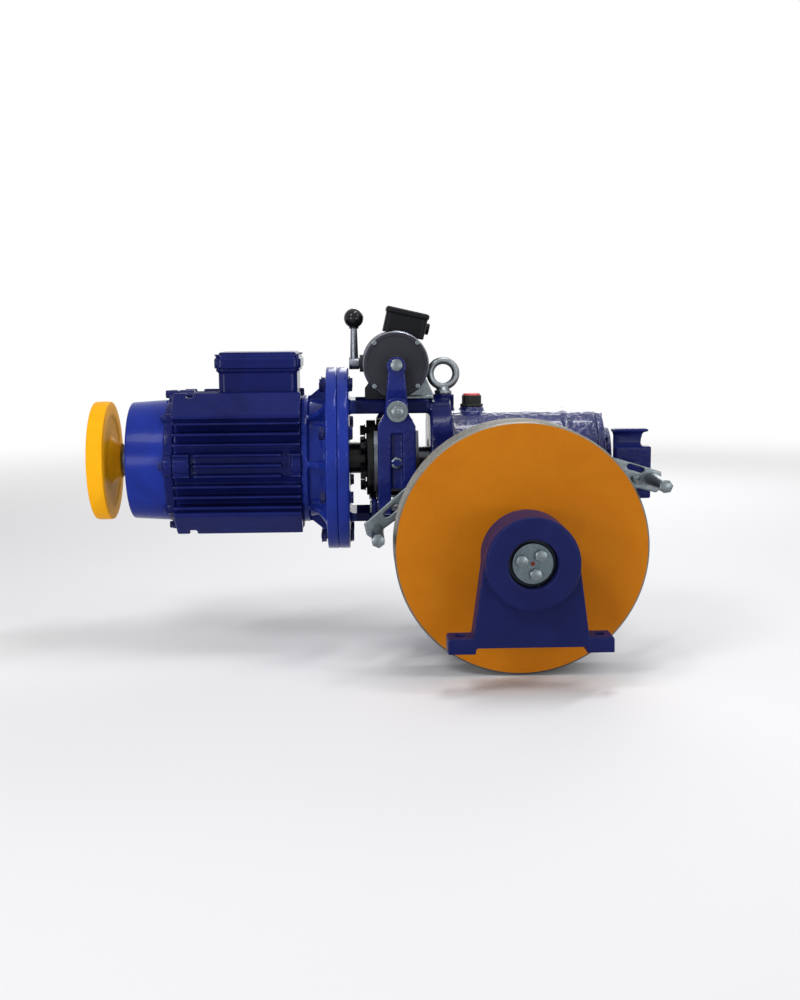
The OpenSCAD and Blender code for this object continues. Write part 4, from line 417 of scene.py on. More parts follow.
plastics = readTable("light dark rough gloss grain relief", [
    ("knobBakelite", (20, 21, 25), (12, 13, 16), 0.12, 0.2, 700.0, 0.08),
    ("capRubber", (28, 30, 30), (18, 19, 19), 0.5, 0.25, 900.0, 0.3),
    ("capRed", (192, 78, 80), (154, 50, 54), 0.45, 0.3, 500.0, 0.25),
    ("primerRed", (112, 40, 30), (74, 26, 20), 0.6, 0.2, 900.0, 0.3),
    ("fanPlastic", (28, 28, 30), (18, 18, 20), 0.45, 0.3, 800.0, 0.2),
    ("sealRubber", (26, 25, 25), (16, 16, 16), 0.55, 0.25, 650.0, 0.3),
    ("couplingBlack", (24, 25, 28), (14, 15, 17), 0.32, 0.3, 260.0, 0.35),
    ("brakeLining", (92, 78, 62), (56, 46, 36), 0.8, 0.2, 420.0, 0.6),
])
plasticMix = {"patches": {"patchScale": 24.0, "patchShare": 0.9}, "dust": {"amount": 0.10, "scale": 44.0},
              "grain": {"lumpShare": 0.8, "peelScale": 1500.0, "peelShare": 0.3}, "dustRough": 0.6,
              "dustTone": tint(150, 146, 140), "deep": 0.0005}


def mixPlastic(name, values):
    material, tree = startMaterial(name)
    tone = effect(tree, "paintTone", paint=values["light"], thin=values["dark"], **plasticMix["patches"])
    dust = effect(tree, "settledDust", **plasticMix["dust"])["mask"]
    colour = mixColour(tree, dust, tone["tone"], plasticMix["dustTone"])
    height = effect(tree, "castRelief", lumpScale=values["grain"], **plasticMix["grain"])["height"]
    rough = maths(tree, "ADD", scaled(tree, dust, plasticMix["dustRough"]), values["rough"], True)
    closeMaterial(tree, height, values["relief"], plasticMix["deep"], Base_Color=colour, Roughness=rough,
                  Specular_IOR_Level=values["gloss"])
    return material


finish = {name: mixPaint(name, values) for name, values in paints.items()}
finish.update({name: mixMetal(name, values) for name, values in metals.items()})
finish.update({name: mixPlastic(name, values) for name, values in plastics.items()})
aboutSlow = {"centre": (0, 0, slowZ), "axis": (0, 1, 0), "pitch": 1400.0}
aboutWorm = {"centre": (0, 0, wormZ), "axis": (1, 0, 0), "pitch": 1400.0}
finish["sheaveTurned"] = mixMetal("sheaveTurned", metals["rimEdge"], aboutSlow)
finish["shaftTurned"] = mixMetal("shaftTurned", metals["groundSteel"], aboutWorm)
finish["plateTurned"] = mixMetal("plateTurned", metals["plateSteel"], dict(aboutSlow, pitch=2600.0))
print("finishes are mixed")


# building helpers: meshes are made in millimetres and settle turns them to metres
def settle(name, mesh, body, nodes, materials, smoothAngle=32.0):
    bmesh.ops.scale(mesh, vec=(0.001, 0.001, 0.001), verts=mesh.verts)
    data = bpy.data.meshes.new(name)
    mesh.to_mesh(data)
    mesh.free()
    for material in materials:
        data.materials.append(finish[material])
    data.shade_smooth()
    if smoothAngle < 180:
        data.set_sharp_from_angle(angle=math.radians(smoothAngle))
    piece = bpy.data.objects.new(name, data)
    scene.collection.objects.link(piece)
    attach(piece, body)
    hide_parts(*nodes)
    return piece


def nodeMesh(name):
    mesh = bmesh.new()
    mesh.from_mesh(frame["nodes"][name].data)
    bmesh.ops.scale(mesh, vec=(1000, 1000, 1000), verts=mesh.verts)
    bmesh.ops.remove_doubles(mesh, verts=mesh.verts, dist=0.002)
    return mesh


def solidsOf(mesh):
    # each closed solid of a merged mesh, as its vertices with its lowest and highest corner
    unseen, found = set(mesh.verts), []
    for start in mesh.verts:
        if start not in unseen:
            continue
        solid, edge = {start}, [start]
        while edge:
            for link in edge.pop().link_edges:
                for vert in link.verts:
                    if vert not in solid:
                        solid.add(vert)
                        edge.append(vert)
        unseen -= solid
        low = Vector(min(v.co[k] for v in solid) for k in range(3))
        high = Vector(max(v.co[k] for v in solid) for k in range(3))
        found.append((solid, low, high))
    return found


def keepSolids(mesh, keep):
    for solid, low, high in solidsOf(mesh):
        if not keep(low, high):
            bmesh.ops.delete(mesh, geom=list(solid), context="VERTS")
    return mesh


def boxesOf(node):
    mesh = nodeMesh(node)
    boxes = [(low, high) for solid, low, high in solidsOf(mesh)]
    mesh.free()
    return boxes


def shift(mesh, *way):
    bmesh.ops.translate(mesh, vec=way, verts=mesh.verts)


def joinMesh(mesh, part, matrix=None, index=None):
    if matrix is not None:
        bmesh.ops.transform(part, matrix=matrix, verts=part.verts)
    if index is not None:
        for face in part.faces:
            face.material_index = index
    data = bpy.data.meshes.new("part")
    part.to_mesh(data)
    part.free()
    mesh.from_mesh(data)
    bpy.data.meshes.remove(data)
    return mesh


def modified(mesh, changes):
    # the mesh after a few modifiers, each a kind with its settings
    data = bpy.data.meshes.new("raw")
    mesh.to_mesh(data)
    mesh.free()
    raw = bpy.data.objects.new("raw", data)
    scene.collection.objects.link(raw)
    for kind, settings in changes:
        change = raw.modifiers.new(kind.lower(), kind)
        for key, value in settings.items():
            setattr(change, key, value)
    result, graph = bmesh.new(), bpy.context.evaluated_depsgraph_get()
    result.from_mesh(bpy.data.meshes.new_from_object(raw.evaluated_get(graph)))
    bpy.data.objects.remove(raw)
    return result


def soften(mesh, values):
    # casts the mesh anew in small voxels and rounds its edges as a mould does
    voxel = values["voxel"] * 1.0
    cast = modified(mesh, [("REMESH", {"mode": "VOXEL", "voxel_size": voxel}),
                           ("SMOOTH", {"factor": 0.5, "iterations": values["rounds"]})])
    count = sum(len(face.verts) - 2 for face in cast.faces)
    if count > values["limit"]:
        cast = modified(cast, [("DECIMATE", {"ratio": values["limit"] / count})])
    chooseFinish(cast, lambda middle, normal: 0)
    return cast


def chooseFinish(mesh, choose):
    # choose gives a face's finish from its middle and its normal
    for face in mesh.faces:
        face.material_index = int(choose(face.calc_center_median(), face.normal))


def cutAway(mesh, tool, operation="DIFFERENCE"):
    data = bpy.data.meshes.new("tool")
    tool.to_mesh(data)
    tool.free()
    holder = bpy.data.objects.new("tool", data)
    scene.collection.objects.link(holder)
    result = modified(mesh, [("BOOLEAN", {"operation": operation, "solver": "EXACT", "object": holder})])
    bpy.data.objects.remove(holder)
    return result


def spinZ(degrees):
    return Matrix.Rotation(math.radians(degrees), 4, "Z")


def stand(place, axis, turn=0.0):
    # frame at place whose z runs along axis and whose y stays upright
    ahead = Vector(axis).normalized()
    upright = Vector((0, 1, 0)) if abs(ahead.z) > 0.99 else Vector((0, 0, 1))
    side = upright.cross(ahead).normalized()
    upright = ahead.cross(side)
    facing = Matrix((side, upright, ahead)).transposed().to_4x4()
    return Matrix.Translation(place) @ facing @ spinZ(turn)


def spinProfile(points, steps=128):
    # points are (along, radius) or (along, radius, corner radius), spun about +Z
    mesh = bmesh.new()
    corners = [mesh.verts.new((point[1], 0, point[0])) for point in points]
    mesh.faces.new(corners)
    for rounding in sorted({point[2] for point in points if len(point) > 2}):
        chosen = [corner for corner, point in zip(corners, points) if point[2:] == (rounding,)]
        bmesh.ops.bevel(mesh, geom=chosen, offset=rounding, offset_type="OFFSET", segments=4, profile=0.5,
                        affect="VERTICES", clamp_overlap=True, material=-1)
    bmesh.ops.delete(mesh, geom=list(mesh.faces), context="FACES_ONLY")
    bmesh.ops.spin(mesh, geom=list(mesh.verts) + list(mesh.edges), cent=(0, 0, 0), axis=(0, 0, 1),
                   angle=allRound, steps=steps, use_merge=True, use_duplicate=False)
    bmesh.ops.remove_doubles(mesh, verts=mesh.verts, dist=0.0005)
    bmesh.ops.dissolve_degenerate(mesh, edges=mesh.edges, dist=0.0004)
    bmesh.ops.delete(mesh, geom=[edge for edge in mesh.edges if not edge.link_faces], context="EDGES")
    bmesh.ops.recalc_face_normals(mesh, faces=mesh.faces)
    return mesh


def boxMesh(low, high, bevel=0.0):
    mesh = bmesh.new()
    bmesh.ops.create_cube(mesh, size=1.0)
    low, high = Vector(low), Vector(high)
    bmesh.ops.scale(mesh, vec=high - low, verts=mesh.verts)
    bmesh.ops.translate(mesh, vec=(low + high) / 2, verts=mesh.verts)
    if bevel:
        bmesh.ops.bevel(mesh, geom=mesh.edges, offset=bevel, segments=2, profile=0.5, affect="EDGES",
                        clamp_overlap=True, material=-1)
    return mesh


def turnTo(mesh, place, axis):
    bmesh.ops.transform(mesh, matrix=stand(place, axis), verts=mesh.verts)
    return mesh


def joinSpun(mesh, points, steps, matrix=None, index=None):
    return joinMesh(mesh, spinProfile(points, steps), matrix, index)


# heads by their flats: the blank's radius by the corner, and its chamfer and crown by the flats
headSet = {"blank": 1.02, "chamfer": 0.07, "crown": 0.46, "over": 0.01}
headStore = {}


def atBrake(side, out, up, turn=0.0):
    # a frame in the plane of the brake, looking outward on one side
    return stand((brakeMm, side * out, up), (0, side, 0), turn)


def boltHead(flats, height):
    # hexagon head on z = 0 with the round chamfer of a turned blank
    if (flats, height) not in headStore:
        mesh = bmesh.new()
        corner = flats / math.sqrt(3)
        bmesh.ops.create_cone(mesh, cap_ends=True, segments=6, radius1=corner, radius2=corner, depth=height)
        shift(mesh, 0, 0, height / 2)
        blank, top = corner * headSet["blank"], height + headSet["over"]
        head = cutAway(mesh, spinProfile([(-1, 0), (-1, blank), (height - flats * headSet["chamfer"], blank),
                                          (top, flats * headSet["crown"]), (top, 0)], 48), "INTERSECT")
        headStore[flats, height] = bpy.data.meshes.new("head")
        head.to_mesh(headStore[flats, height])
        head.free()
    mesh = bmesh.new()
    mesh.from_mesh(headStore[flats, height])
    return mesh


def hexBolt(mesh, place, axis, flats, height, washer=None, shank=None, turn=0.0, tip=0.0, index=None):
    # place is on the seat; washer is (radius, thickness), shank (radius, length), tip the thread beyond a nut
    spot = stand(place, axis, turn)
    seat = 0.0
    if washer:
        radius, seat = washer
        joinSpun(mesh, [(0, 0), (0, radius - 0.3), (0.4, radius), (seat - 0.4, radius), (seat, radius - 0.5),
                        (seat, 0)], 40, spot, index)
    joinMesh(mesh, boltHead(flats, height), spot @ Matrix.Translation((0, 0, seat)), index)
    if shank:
        radius, length = shank
        joinSpun(mesh, [(-length, 0), (-length, radius * 0.8), (-length + radius * 0.3, radius), (0.2, radius),
                        (0.2, 0)], 24, spot, index)
    if tip:
        top, radius = seat + height, shank[0]
        end = top + tip
        joinSpun(mesh, [(top - 1, 0), (top - 1, radius), (end - 1.2, radius), (end, radius - 1.2), (end, 0)],
                 24, spot, index)


wormMm, slowMm, brakeMm, magnetMm = wormZ * 1000, slowZ * 1000, brakeX * 1000, magnetZ * 1000
magnetMidX = -185

# castings
castings = readTable("node finish voxel rounds limit second secondBelow", [
    ("caseCover", "side_cover", "castEnamel", 2.0, 4, 70000),
    ("wormCover", "worm_end_cover", "wormEnamel", 1.8, 3, 60000),
    ("wormCap", "worm_end_cap", "wormEnamel", 1.6, 3, 40000),
    ("motorFlange", "motor_flange", "flangeEnamel", 2.0, 4, 150000),
    ("motorFrame", "motor_frame", "castEnamel", 1.7, 4, 190000),
    ("rearShield", "rear_endshield", "castEnamel", 1.8, 4, 90000),
    ("terminalBox", "terminal_box", "castEnamel", 1.5, 4, 80000),
    ("terminalLid", "terminal_box_lid", "castEnamel", 1.3, 4, 80000),
    ("pedestal", "pedestal", "pedestalPaint", 1.6, 4, 150000),
    ("magnetBox", "magnet_terminal_box", "boxPaint", 1.2, 3, 60000),
    ("magnetCradle", "magnet_bracket", "zincPlate", 1.1, 2, 60000, "magnetPaint", magnetMidX),
    ("eyeBolt", "eye_bolt", "forgedZinc", 0.8, 6, 60000),
    ("ropeGuards", "rope_guards", "zincPlate", 1.1, 2, 60000),
])
for name, item in castings.items():
    mesh = soften(nodeMesh(item["node"]), item)
    chooseFinish(mesh, lambda middle, normal: middle.x < item.get("secondBelow", -math.inf))
    settle(name, mesh, "machine", [item["node"]], [item["finish"], item.get("second", item["finish"])], 180)

# gear case: glossy round the worm, motor coloured at its flange, and dull on top of the bell, where the upward
# faces are painted a shade darker
caseSet = {"voxel": 2.4, "rounds": 5, "limit": 190000, "wormReach": 92, "wormFrom": -134, "wormLow": 178,
           "flangeTo": -262, "bellTo": -134, "level": 0.85,
           "finishes": ["castEnamel", "wormEnamel", "flangeEnamel", "bellEnamel"]}


def caseFinish(middle, normal):
    if middle.x < caseSet["flangeTo"]:
        return 2
    # upward bell faces take the painted-shade copy of the enamel
    if middle.x < caseSet["bellTo"] and normal.z > caseSet["level"]:
        return 3
    near = math.hypot(middle.y, middle.z - wormMm) < caseSet["wormReach"]
    return near and middle.x > caseSet["wormFrom"] and middle.z > caseSet["wormLow"]


caseMesh = soften(nodeMesh("gear_housing"), caseSet)
chooseFinish(caseMesh, caseFinish)
settle("gearCase", caseMesh, "machine", ["gear_housing"], caseSet["finishes"], 180)
print("castings are done")


# traction sheave
sheaveSet = {"back": 170, "front": 250, "rim": 204, "rimInner": 172, "chamfer": 3, "band": 7, "web": 20,
             "webRound": 7, "hub": 60, "bore": 37.6, "grooves": (180, 195, 210, 225, 240), "ropeHalf": 5.2,
             "grooveBottom": 194.8, "lip": 0.8, "flank": 4, "ribs": 6, "ribFrom": 176, "ribWidth": 12,
             "ribRound": 2.5}


def turnSheave(values):
    back, front, rim, chamfer, hub, bore = read(values, "back front rim chamfer hub bore")
    half, bottom, lip, flank, inner, corner = read(values, "ropeHalf grooveBottom lip flank rimInner webRound")
    web = front - values["web"]
    grooved = []
    for middle in values["grooves"]:
        grooved += [(middle - half - lip, rim, 0.4), (middle - half, rim - flank),
                    (middle - half, bottom, half - 0.05), (middle + half, bottom, half - 0.05),
                    (middle + half, rim - flank), (middle + half + lip, rim, 0.4)]
    ahead = [(front, bore), (front, hub - 2), (front, rim - chamfer), (front - chamfer, rim)]
    behind = [(back + chamfer, rim), (back, rim - chamfer), (back, inner, 1.5), (web, inner, corner),
              (web, hub, corner), (back, hub, 2), (back, bore)]
    mesh = spinProfile(ahead + grooved[::-1] + behind, 168)
    chooseFinish(mesh, lambda middle, normal: math.hypot(middle.x, middle.y) > rim - chamfer - values["band"])
    for i in range(values["ribs"]):
        rib = boxMesh((hub - 2, -values["ribWidth"] / 2, values["ribFrom"]),
                      (inner + 2, values["ribWidth"] / 2, web + 1), values["ribRound"])
        joinMesh(mesh, rib, spinZ(360 / values["ribs"] * (i + 0.5)))
    return turnTo(mesh, (0, 0, slowMm), (0, -1, 0))


settle("tractionSheave", turnSheave(sheaveSet), "sheave_line", ["sheave"], ["sheavePaint", "sheaveTurned"])
print("sheave is turned")


# shaft end plate with its centre dimple
endSet = {"face": 374, "thick": 8, "radius": 31.5, "recess": 9.5, "recessDeep": 0.5, "dimple": 3.4,
          "dimpleDeep": 2.4, "primed": 4.6, "primedDeep": 3}


def turnEndPlate(values):
    radius, thick, recess, step = read(values, "radius thick recess recessDeep")
    dimple, deep = read(values, "dimple dimpleDeep")
    mesh = spinProfile([(-thick, 0), (-thick, radius), (-1, radius), (0, radius - 1), (0, recess),
                        (-step, recess - 0.3), (-step, dimple), (-deep, 0.5), (-deep, 0)], 96)
    chooseFinish(mesh, lambda middle, normal: math.hypot(middle.x, middle.y) < values["primed"]
                 and middle.z > -values["primedDeep"])
    return turnTo(mesh, (0, -values["face"], slowMm), (0, -1, 0))


settle("shaftEndPlate", turnEndPlate(endSet), "sheave_line", ["shaft_end_plate"], ["plateTurned", "primerRed"])


# bolts, screws and plugs, placed where the CAD solids stand
def seatOf(low, high, axis, above):
    # the point under the head: the middle of the solid, at its far end less the head and washer
    axis = Vector(axis)
    middle = (low + high) / 2
    reach = max((high - middle).dot(axis), (low - middle).dot(axis))
    return middle + axis * (reach - above), 2 * reach - above


turnSteps = {"head": 37, "nut": 23, "all": 60}  # no two neighbours stand at the same angle
plug = {"flats": 22, "head": 7, "washer": (14, 2), "shank": 9}
# a kind takes the solids its pick holds for, and one without a pick takes what is left
fastenings = {
    "housingBolts": {"node": "housing_bolts", "finish": "castEnamel", "kinds": [
        {"pick": lambda low, high: high.y < 0 and high.x - low.x < 30 and low.y < -150, "axis": (0, -1, 0),
         "flats": 13, "head": 5.5, "washer": (8, 1.6), "shank": 4, "index": 1},  # rope guard bolts, left bare
        {"pick": lambda low, high: low.x > 100 and high.x - low.x > 20, "axis": (1, 0, 0), "flats": 13,
         "head": 5.5, "shank": 4},
        {"axis": (0, 1, 0), "flats": 10, "head": 5, "shank": 3}]},
    "motorScrews": {"node": "motor_screws", "finish": "castEnamel", "kinds": [
        {"pick": lambda low, high: high.z - low.z > high.x - low.x, "axis": (0, 0, 1), "flats": 7, "head": 2.2,
         "drop": 4.6, "shank": 2},
        {"pick": lambda low, high: high.x - low.x > 30, "axis": (-1, 0, 0), "flats": 12, "head": 5.5,
         "washer": (7.2, 1.6), "shank": 4},
        {"axis": (-1, 0, 0), "flats": 8, "head": 3.5, "shank": 2.5}]},
    "oilPlugs": {"node": "oil_plugs", "kinds": [
        {"pick": lambda low, high: high.y < 0, "axis": (0, -1, 0), **plug}, {"axis": (1, 0, 0), **plug}]},
    "endPlateBolts": {"node": "end_plate_bolts", "body": "sheave_line", "kinds": [
        {"axis": (0, -1, 0), "flats": 17, "head": 6, "shank": 5}]},
    "handwheelBolt": {"node": "handwheel_bolt", "body": "worm_line", "kinds": [
        {"axis": (-1, 0, 0), "flats": 17, "head": 6.5, "washer": (19, 3), "shank": 5}]},
    "flangeBolts": {"node": "flange_bolts", "finish": "castEnamel", "kinds": [
        {"axis": (1, 0, 0), "flats": 19, "head": 5, "washer": (12, 1.5), "drop": 4, "shank": 6, "nut": 5,
         "nutSeat": 9}]},
    "couplingPins": {"node": "coupling_pins", "body": "worm_line", "finish": "springSteel",
     "second": "sealRubber", "kinds": [
        {"axis": (-1, 0, 0), "flats": 17, "head": 7.5, "washer": (10.5, 1.8), "shank": 6, "bush": (10.5, 34)}]},
}
for name, group in fastenings.items():
    mesh = bmesh.new()
    for number, (low, high) in enumerate(boxesOf(group["node"])):
        kind = next(kind for kind in group["kinds"] if "pick" not in kind or kind["pick"](low, high))
        axis, washer, flats = kind["axis"], kind.get("washer"), kind["flats"]
        above = kind["head"] + kind.get("drop", 0) + (washer[1] if washer else 0)
        seat, length = seatOf(low, high, axis, above)
        hexBolt(mesh, seat, axis, flats, kind["head"], washer, (kind["shank"], length),
                turn=number * turnSteps["head"] % turnSteps["all"], index=kind.get("index", 0))
        far = seat - Vector(axis) * length
        if "nut" in kind:
            turn = number * turnSteps["nut"] % turnSteps["all"]
            spot = stand(far + Vector(axis) * kind["nutSeat"], [-part for part in axis], turn)
            joinMesh(mesh, boltHead(flats, kind["nut"]), spot)
        if "bush" in kind:
            radius, reach = kind["bush"]
            joinSpun(mesh, [(0, 0), (0, radius - 0.5), (0.5, radius), (reach - 1, radius), (reach, radius - 1),
                            (reach, 0)], 32, stand(far, axis), 1)
    settle(name, mesh, group.get("body", "machine"), [group["node"]],
           [group.get("finish", "zincPlate"), group.get("second", "zincPlate")])
print("bolts are in")


# fan cover with its grille
coverSet = {"back": -651, "front": -585, "nose": 101, "mouth": 105, "sheet": 2, "hole": 40, "barWidth": 6,
            "slots": (46, 57, 68, 79, 90), "slotWidth": 7, "wireRound": 0.6, "bars": 6, "barTurn": 15,
            "lugs": 4, "lugWidth": 16, "lugIn": 1.4, "lugOut": 11, "lugThick": 2, "lugRound": 0.8}


def pressCover(values):
    sheet, hole, edge, nose, mouth = read(values, "sheet hole wireRound nose mouth")
    deep, last = values["front"] - values["back"], values["slots"][-1] + values["slotWidth"]
    mesh = spinProfile([(0, last, edge), (0, nose, 3.6), (deep - 1.5, mouth, 0.8), (deep, mouth, 0.5),
                        (deep, mouth - sheet), (sheet, nose - sheet, 1.8), (sheet, last, edge)], 160)
    inner = hole
    for slot in values["slots"]:
        joinSpun(mesh, [(0, inner, edge), (0, slot, edge), (sheet, slot, edge), (sheet, inner, edge)], 120)
        inner = slot + values["slotWidth"]
    for i in range(values["bars"]):
        half = values["barWidth"] / 2
        bar = boxMesh((hole + 1, -half, 0.1), (last + 2, half, sheet - 0.1), 0.5)
        joinMesh(mesh, bar, spinZ(values["barTurn"] + 360 / values["bars"] * i))
    for i in range(values["lugs"]):
        half = values["lugWidth"] / 2
        lug = boxMesh((mouth - values["lugIn"], -half, deep - values["lugThick"]),
                      (mouth + values["lugOut"], half, deep), values["lugRound"])
        joinMesh(mesh, lug, spinZ(360 / values["lugs"] * (i + 0.5)))
    return turnTo(mesh, (values["back"], 0, wormMm), (1, 0, 0))


settle("fanCover", pressCover(coverSet), "machine", ["fan_cover"], ["sheetEnamel"])

# handwheel
wheelSet = {"back": -715, "width": 27, "radius": 103, "inner": 78, "hub": 32, "bore": 12.2, "hubLength": 45,
            "rimRound": 7, "webRound": 4}


def turnHandwheel(values):
    width, radius, inner, hub, bore = read(values, "width radius inner hub bore")
    rim, web, long = read(values, "rimRound webRound hubLength")
    mesh = spinProfile([
        (6, bore), (6, hub - 6, 1.5), (10, hub - 3), (width - 11, hub - 1, 3), (width - 11, inner - 4, web),
        (3, inner + 2), (0, inner + 5, 2.5), (0, radius - 1, rim), (4, radius, 3), (width - 4, radius, 3),
        (width, radius - 1, rim), (width, inner + 2, 2.5), (width - 2, inner - 4, web), (width - 2, hub + 9, web),
        (width + 8, hub, web), (long, hub - 2, 2), (long, bore)], 144)
    return turnTo(mesh, (values["back"], 0, wormMm), (1, 0, 0))


settle("handwheel", turnHandwheel(wheelSet), "worm_line", ["handwheel"], ["wheelPaint"], 40)
print("motor end is done")


# end caps of the brake magnet with their socket screws
magnetSet = {"half": 86, "radius": 55.5, "cap": 12, "rim": 7.5, "dish": 0.8, "boss": 16, "pinHole": 8.6,
             "brightRim": 2.6, "brightDeep": 2.5, "screws": 4, "screwCircle": 51, "screwRadius": 4.2,
             "screwHigh": 3.4, "socket": 2.3, "socketHigh": 4, "socketUp": 3.6, "turnStep": 20}


def turnMagnetCaps(values):
    mesh = bmesh.new()
    radius, cap, rim, hole, dish = read(values, "radius cap rim pinHole dish")
    wide, high, circle = read(values, "screwRadius screwHigh screwCircle")
    for side in (-1, 1):
        lid = spinProfile([(0, hole), (0, radius - 0.8), (0.8, radius), (cap - 2, radius), (cap, radius - 2),
                           (cap, radius - rim), (cap - dish, radius - rim - dish), (cap - dish, values["boss"]),
                           (cap, values["boss"] - 1), (cap, hole)], 112)
        chooseFinish(lid, lambda middle, normal: math.hypot(middle.x, middle.y) > radius - values["brightRim"]
                     and middle.z > cap - values["brightDeep"])
        joinMesh(mesh, lid, atBrake(side, values["half"], magnetMm))
        for i in range(values["screws"]):
            turn = math.radians(360 / values["screws"] * (i + 0.5))
            place = (brakeMm + circle * math.cos(turn), side * (values["half"] + cap - 0.1),
                     magnetMm + circle * math.sin(turn))
            screw = spinProfile([(0, 0), (0, wide), (high - 0.4, wide, 0.6), (high, wide - 0.8), (high, 0)], 28)
            socket = bmesh.new()
            bmesh.ops.create_cone(socket, cap_ends=True, segments=6, radius1=values["socket"],
                                  radius2=values["socket"], depth=values["socketHigh"])
            shift(socket, 0, 0, values["socketUp"])
            joinMesh(mesh, cutAway(screw, socket), stand(place, (0, side, 0), values["turnStep"] * i), 2)
    return mesh


settle("magnetCaps", turnMagnetCaps(magnetSet), "machine", ["magnet_caps"],
       ["magnetPaint", "leverSteel", "zincPlate"])

# release lever with its cam between the plungers, and its ball knob
leverSet = {"hubFrom": -272.9, "hubLength": 18, "hubRadius": 10.5, "shaft": 8, "shaftLength": 65,
            "rodX": -263.9, "rodTop": 70, "rodRadii": (7, 6.9, 5.4), "rodWaist": 14, "cam": (15, 11.4, 7.6),
            "knobUp": 78, "knob": 17}


def turnLever(values):
    hub, long, shaft, end, rodX, rodTop = read(values, "hubRadius hubLength shaft shaftLength rodX rodTop")
    mesh = spinProfile([(0, 0), (0, hub, 1.2), (long, hub, 1.2), (long, shaft), (end, shaft), (end, 0)], 56)
    turnTo(mesh, (values["hubFrom"], 0, magnetMm), (1, 0, 0))
    foot, waist, top = values["rodRadii"]
    joinSpun(mesh, [(0, 0), (0, foot), (values["rodWaist"], waist), (rodTop, top), (rodTop, 0)], 40,
             stand((rodX, 0, magnetMm), (0, 0, 1)))
    x, y, z = values["cam"]
    return joinMesh(mesh, boxMesh((brakeMm - x, -y, magnetMm - z), (brakeMm + x, y, magnetMm + z), 1.0))


def turnKnob(values):
    mesh = bmesh.new()
    bmesh.ops.create_uvsphere(mesh, u_segments=48, v_segments=32, radius=values["knob"])
    shift(mesh, 0, 0, values["knobUp"])
    neck = values["knobUp"] - values["knob"]
    joinSpun(mesh, [(neck - 1, 5.6), (neck - 1, 8.5, 0.6), (neck + 2, 8.2), (neck + 6, 9.6), (neck + 7, 5.6)],
             48)
    shift(mesh, values["rodX"], 0, magnetMm)
    return mesh


settle("releaseLever", turnLever(leverSet), "lever", ["release_lever"], ["leverSteel"])
settle("leverKnob", turnKnob(leverSet), "lever", ["lever_knob"], ["knobBakelite"])
print("brake magnet is done")


# brake arms and shoes
armSet = {"voxel": 1.3, "rounds": 3, "limit": 90000, "tallFrom": 100, "stemOut": 122, "adjusterOut": 7,
          "adjuster": 25, "flats": 18, "head": 8, "nut": 6.6, "shank": 6, "screwOut": 96.3, "screwHead": 7.5,
          "screwLength": 18, "turns": {"adjuster": 12, "nut": 38, "screw": 8}}
shoeSet = {"plateFrom": 70, "edge": {"width": 0.8, "segments": 2, "limit_method": "ANGLE",
                                     "angle_limit": math.radians(40)}}


def castArm(values, name, side):
    mesh = keepSolids(nodeMesh("brake_arm_" + name), lambda low, high: high.z - low.z > values["tallFrom"])
    mesh = soften(mesh, values)
    outward = (0, side, 0)
    flats, shank, turns = read(values, "flats shank turns")
    hexBolt(mesh, (brakeMm, side * (values["stemOut"] + values["adjusterOut"]), magnetMm), outward, flats,
            values["head"], shank=(shank, values["adjuster"]), turn=turns["adjuster"], index=1)
    joinMesh(mesh, boltHead(flats, values["nut"]), atBrake(side, values["stemOut"], magnetMm, turns["nut"]), 1)
    hexBolt(mesh, (brakeMm, side * values["screwOut"], wormMm), outward, flats, values["screwHead"],
            shank=(shank, values["screwLength"]), turn=turns["screw"], index=1)
    return mesh


def pressShoe(values, name):
    # the plate's solids are longer than the lining blocks
    lining = nodeMesh("brake_shoe_" + name)
    plate = keepSolids(lining.copy(), lambda low, high: high.x - low.x > values["plateFrom"])
    keepSolids(lining, lambda low, high: high.x - low.x <= values["plateFrom"])
    return joinMesh(modified(plate, [("BEVEL", values["edge"])]), lining, None, 1)


for name, side in (("front", -1), ("rear", 1)):
    settle("brakeArm" + name.capitalize(), castArm(armSet, name, side), "arm_" + name, ["brake_arm_" + name],
           ["armEnamel", "zincPlate"], 50)
    settle("brakeShoe" + name.capitalize(), pressShoe(shoeSet, name), "arm_" + name, ["brake_shoe_" + name],
           ["shoeSteel", "brakeLining"])

# brake springs on their studs; keep is the length left when an arm is fully open
springSet = {"from": 118.8, "length": 33, "radius": 14, "wire": 4.5, "turns": 4, "up": 90, "steps": 30,
             "wireSegments": 14, "endGap": 0.2, "keep": {"front": 0.95, "rear": 0.945}}


def coilSpring(values, side):
    wire, middle = values["wire"] / 2, values["radius"] - values["wire"] / 2
    mesh = bmesh.new()
    bmesh.ops.create_circle(mesh, cap_ends=False, segments=values["wireSegments"], radius=wire)
    bmesh.ops.rotate(mesh, verts=mesh.verts, cent=(0, 0, 0), matrix=Matrix.Rotation(math.pi / 2, 3, "X"))
    shift(mesh, middle, 0, wire + values["endGap"])
    steps = values["steps"] * values["turns"]
    rise = (values["length"] - values["wire"] - 2 * values["endGap"]) / steps
    bmesh.ops.spin(mesh, geom=list(mesh.verts) + list(mesh.edges), cent=(0, 0, 0), axis=(0, 0, 1),
                   dvec=(0, 0, rise), angle=allRound * values["turns"], steps=steps, use_merge=False,
                   use_duplicate=False)
    bmesh.ops.holes_fill(mesh, edges=mesh.edges, sides=0)
    bmesh.ops.recalc_face_normals(mesh, faces=mesh.faces)
    bmesh.ops.transform(mesh, matrix=atBrake(side, values["from"], wormMm + values["up"]), verts=mesh.verts)
    return mesh


for name, side in (("front", -1), ("rear", 1)):
    spring = settle("brakeSpring" + name.capitalize(), coilSpring(springSet, side), "machine",
                    ["brake_spring_" + name], ["springSteel"])
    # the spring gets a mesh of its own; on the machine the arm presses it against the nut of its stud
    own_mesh(spring)

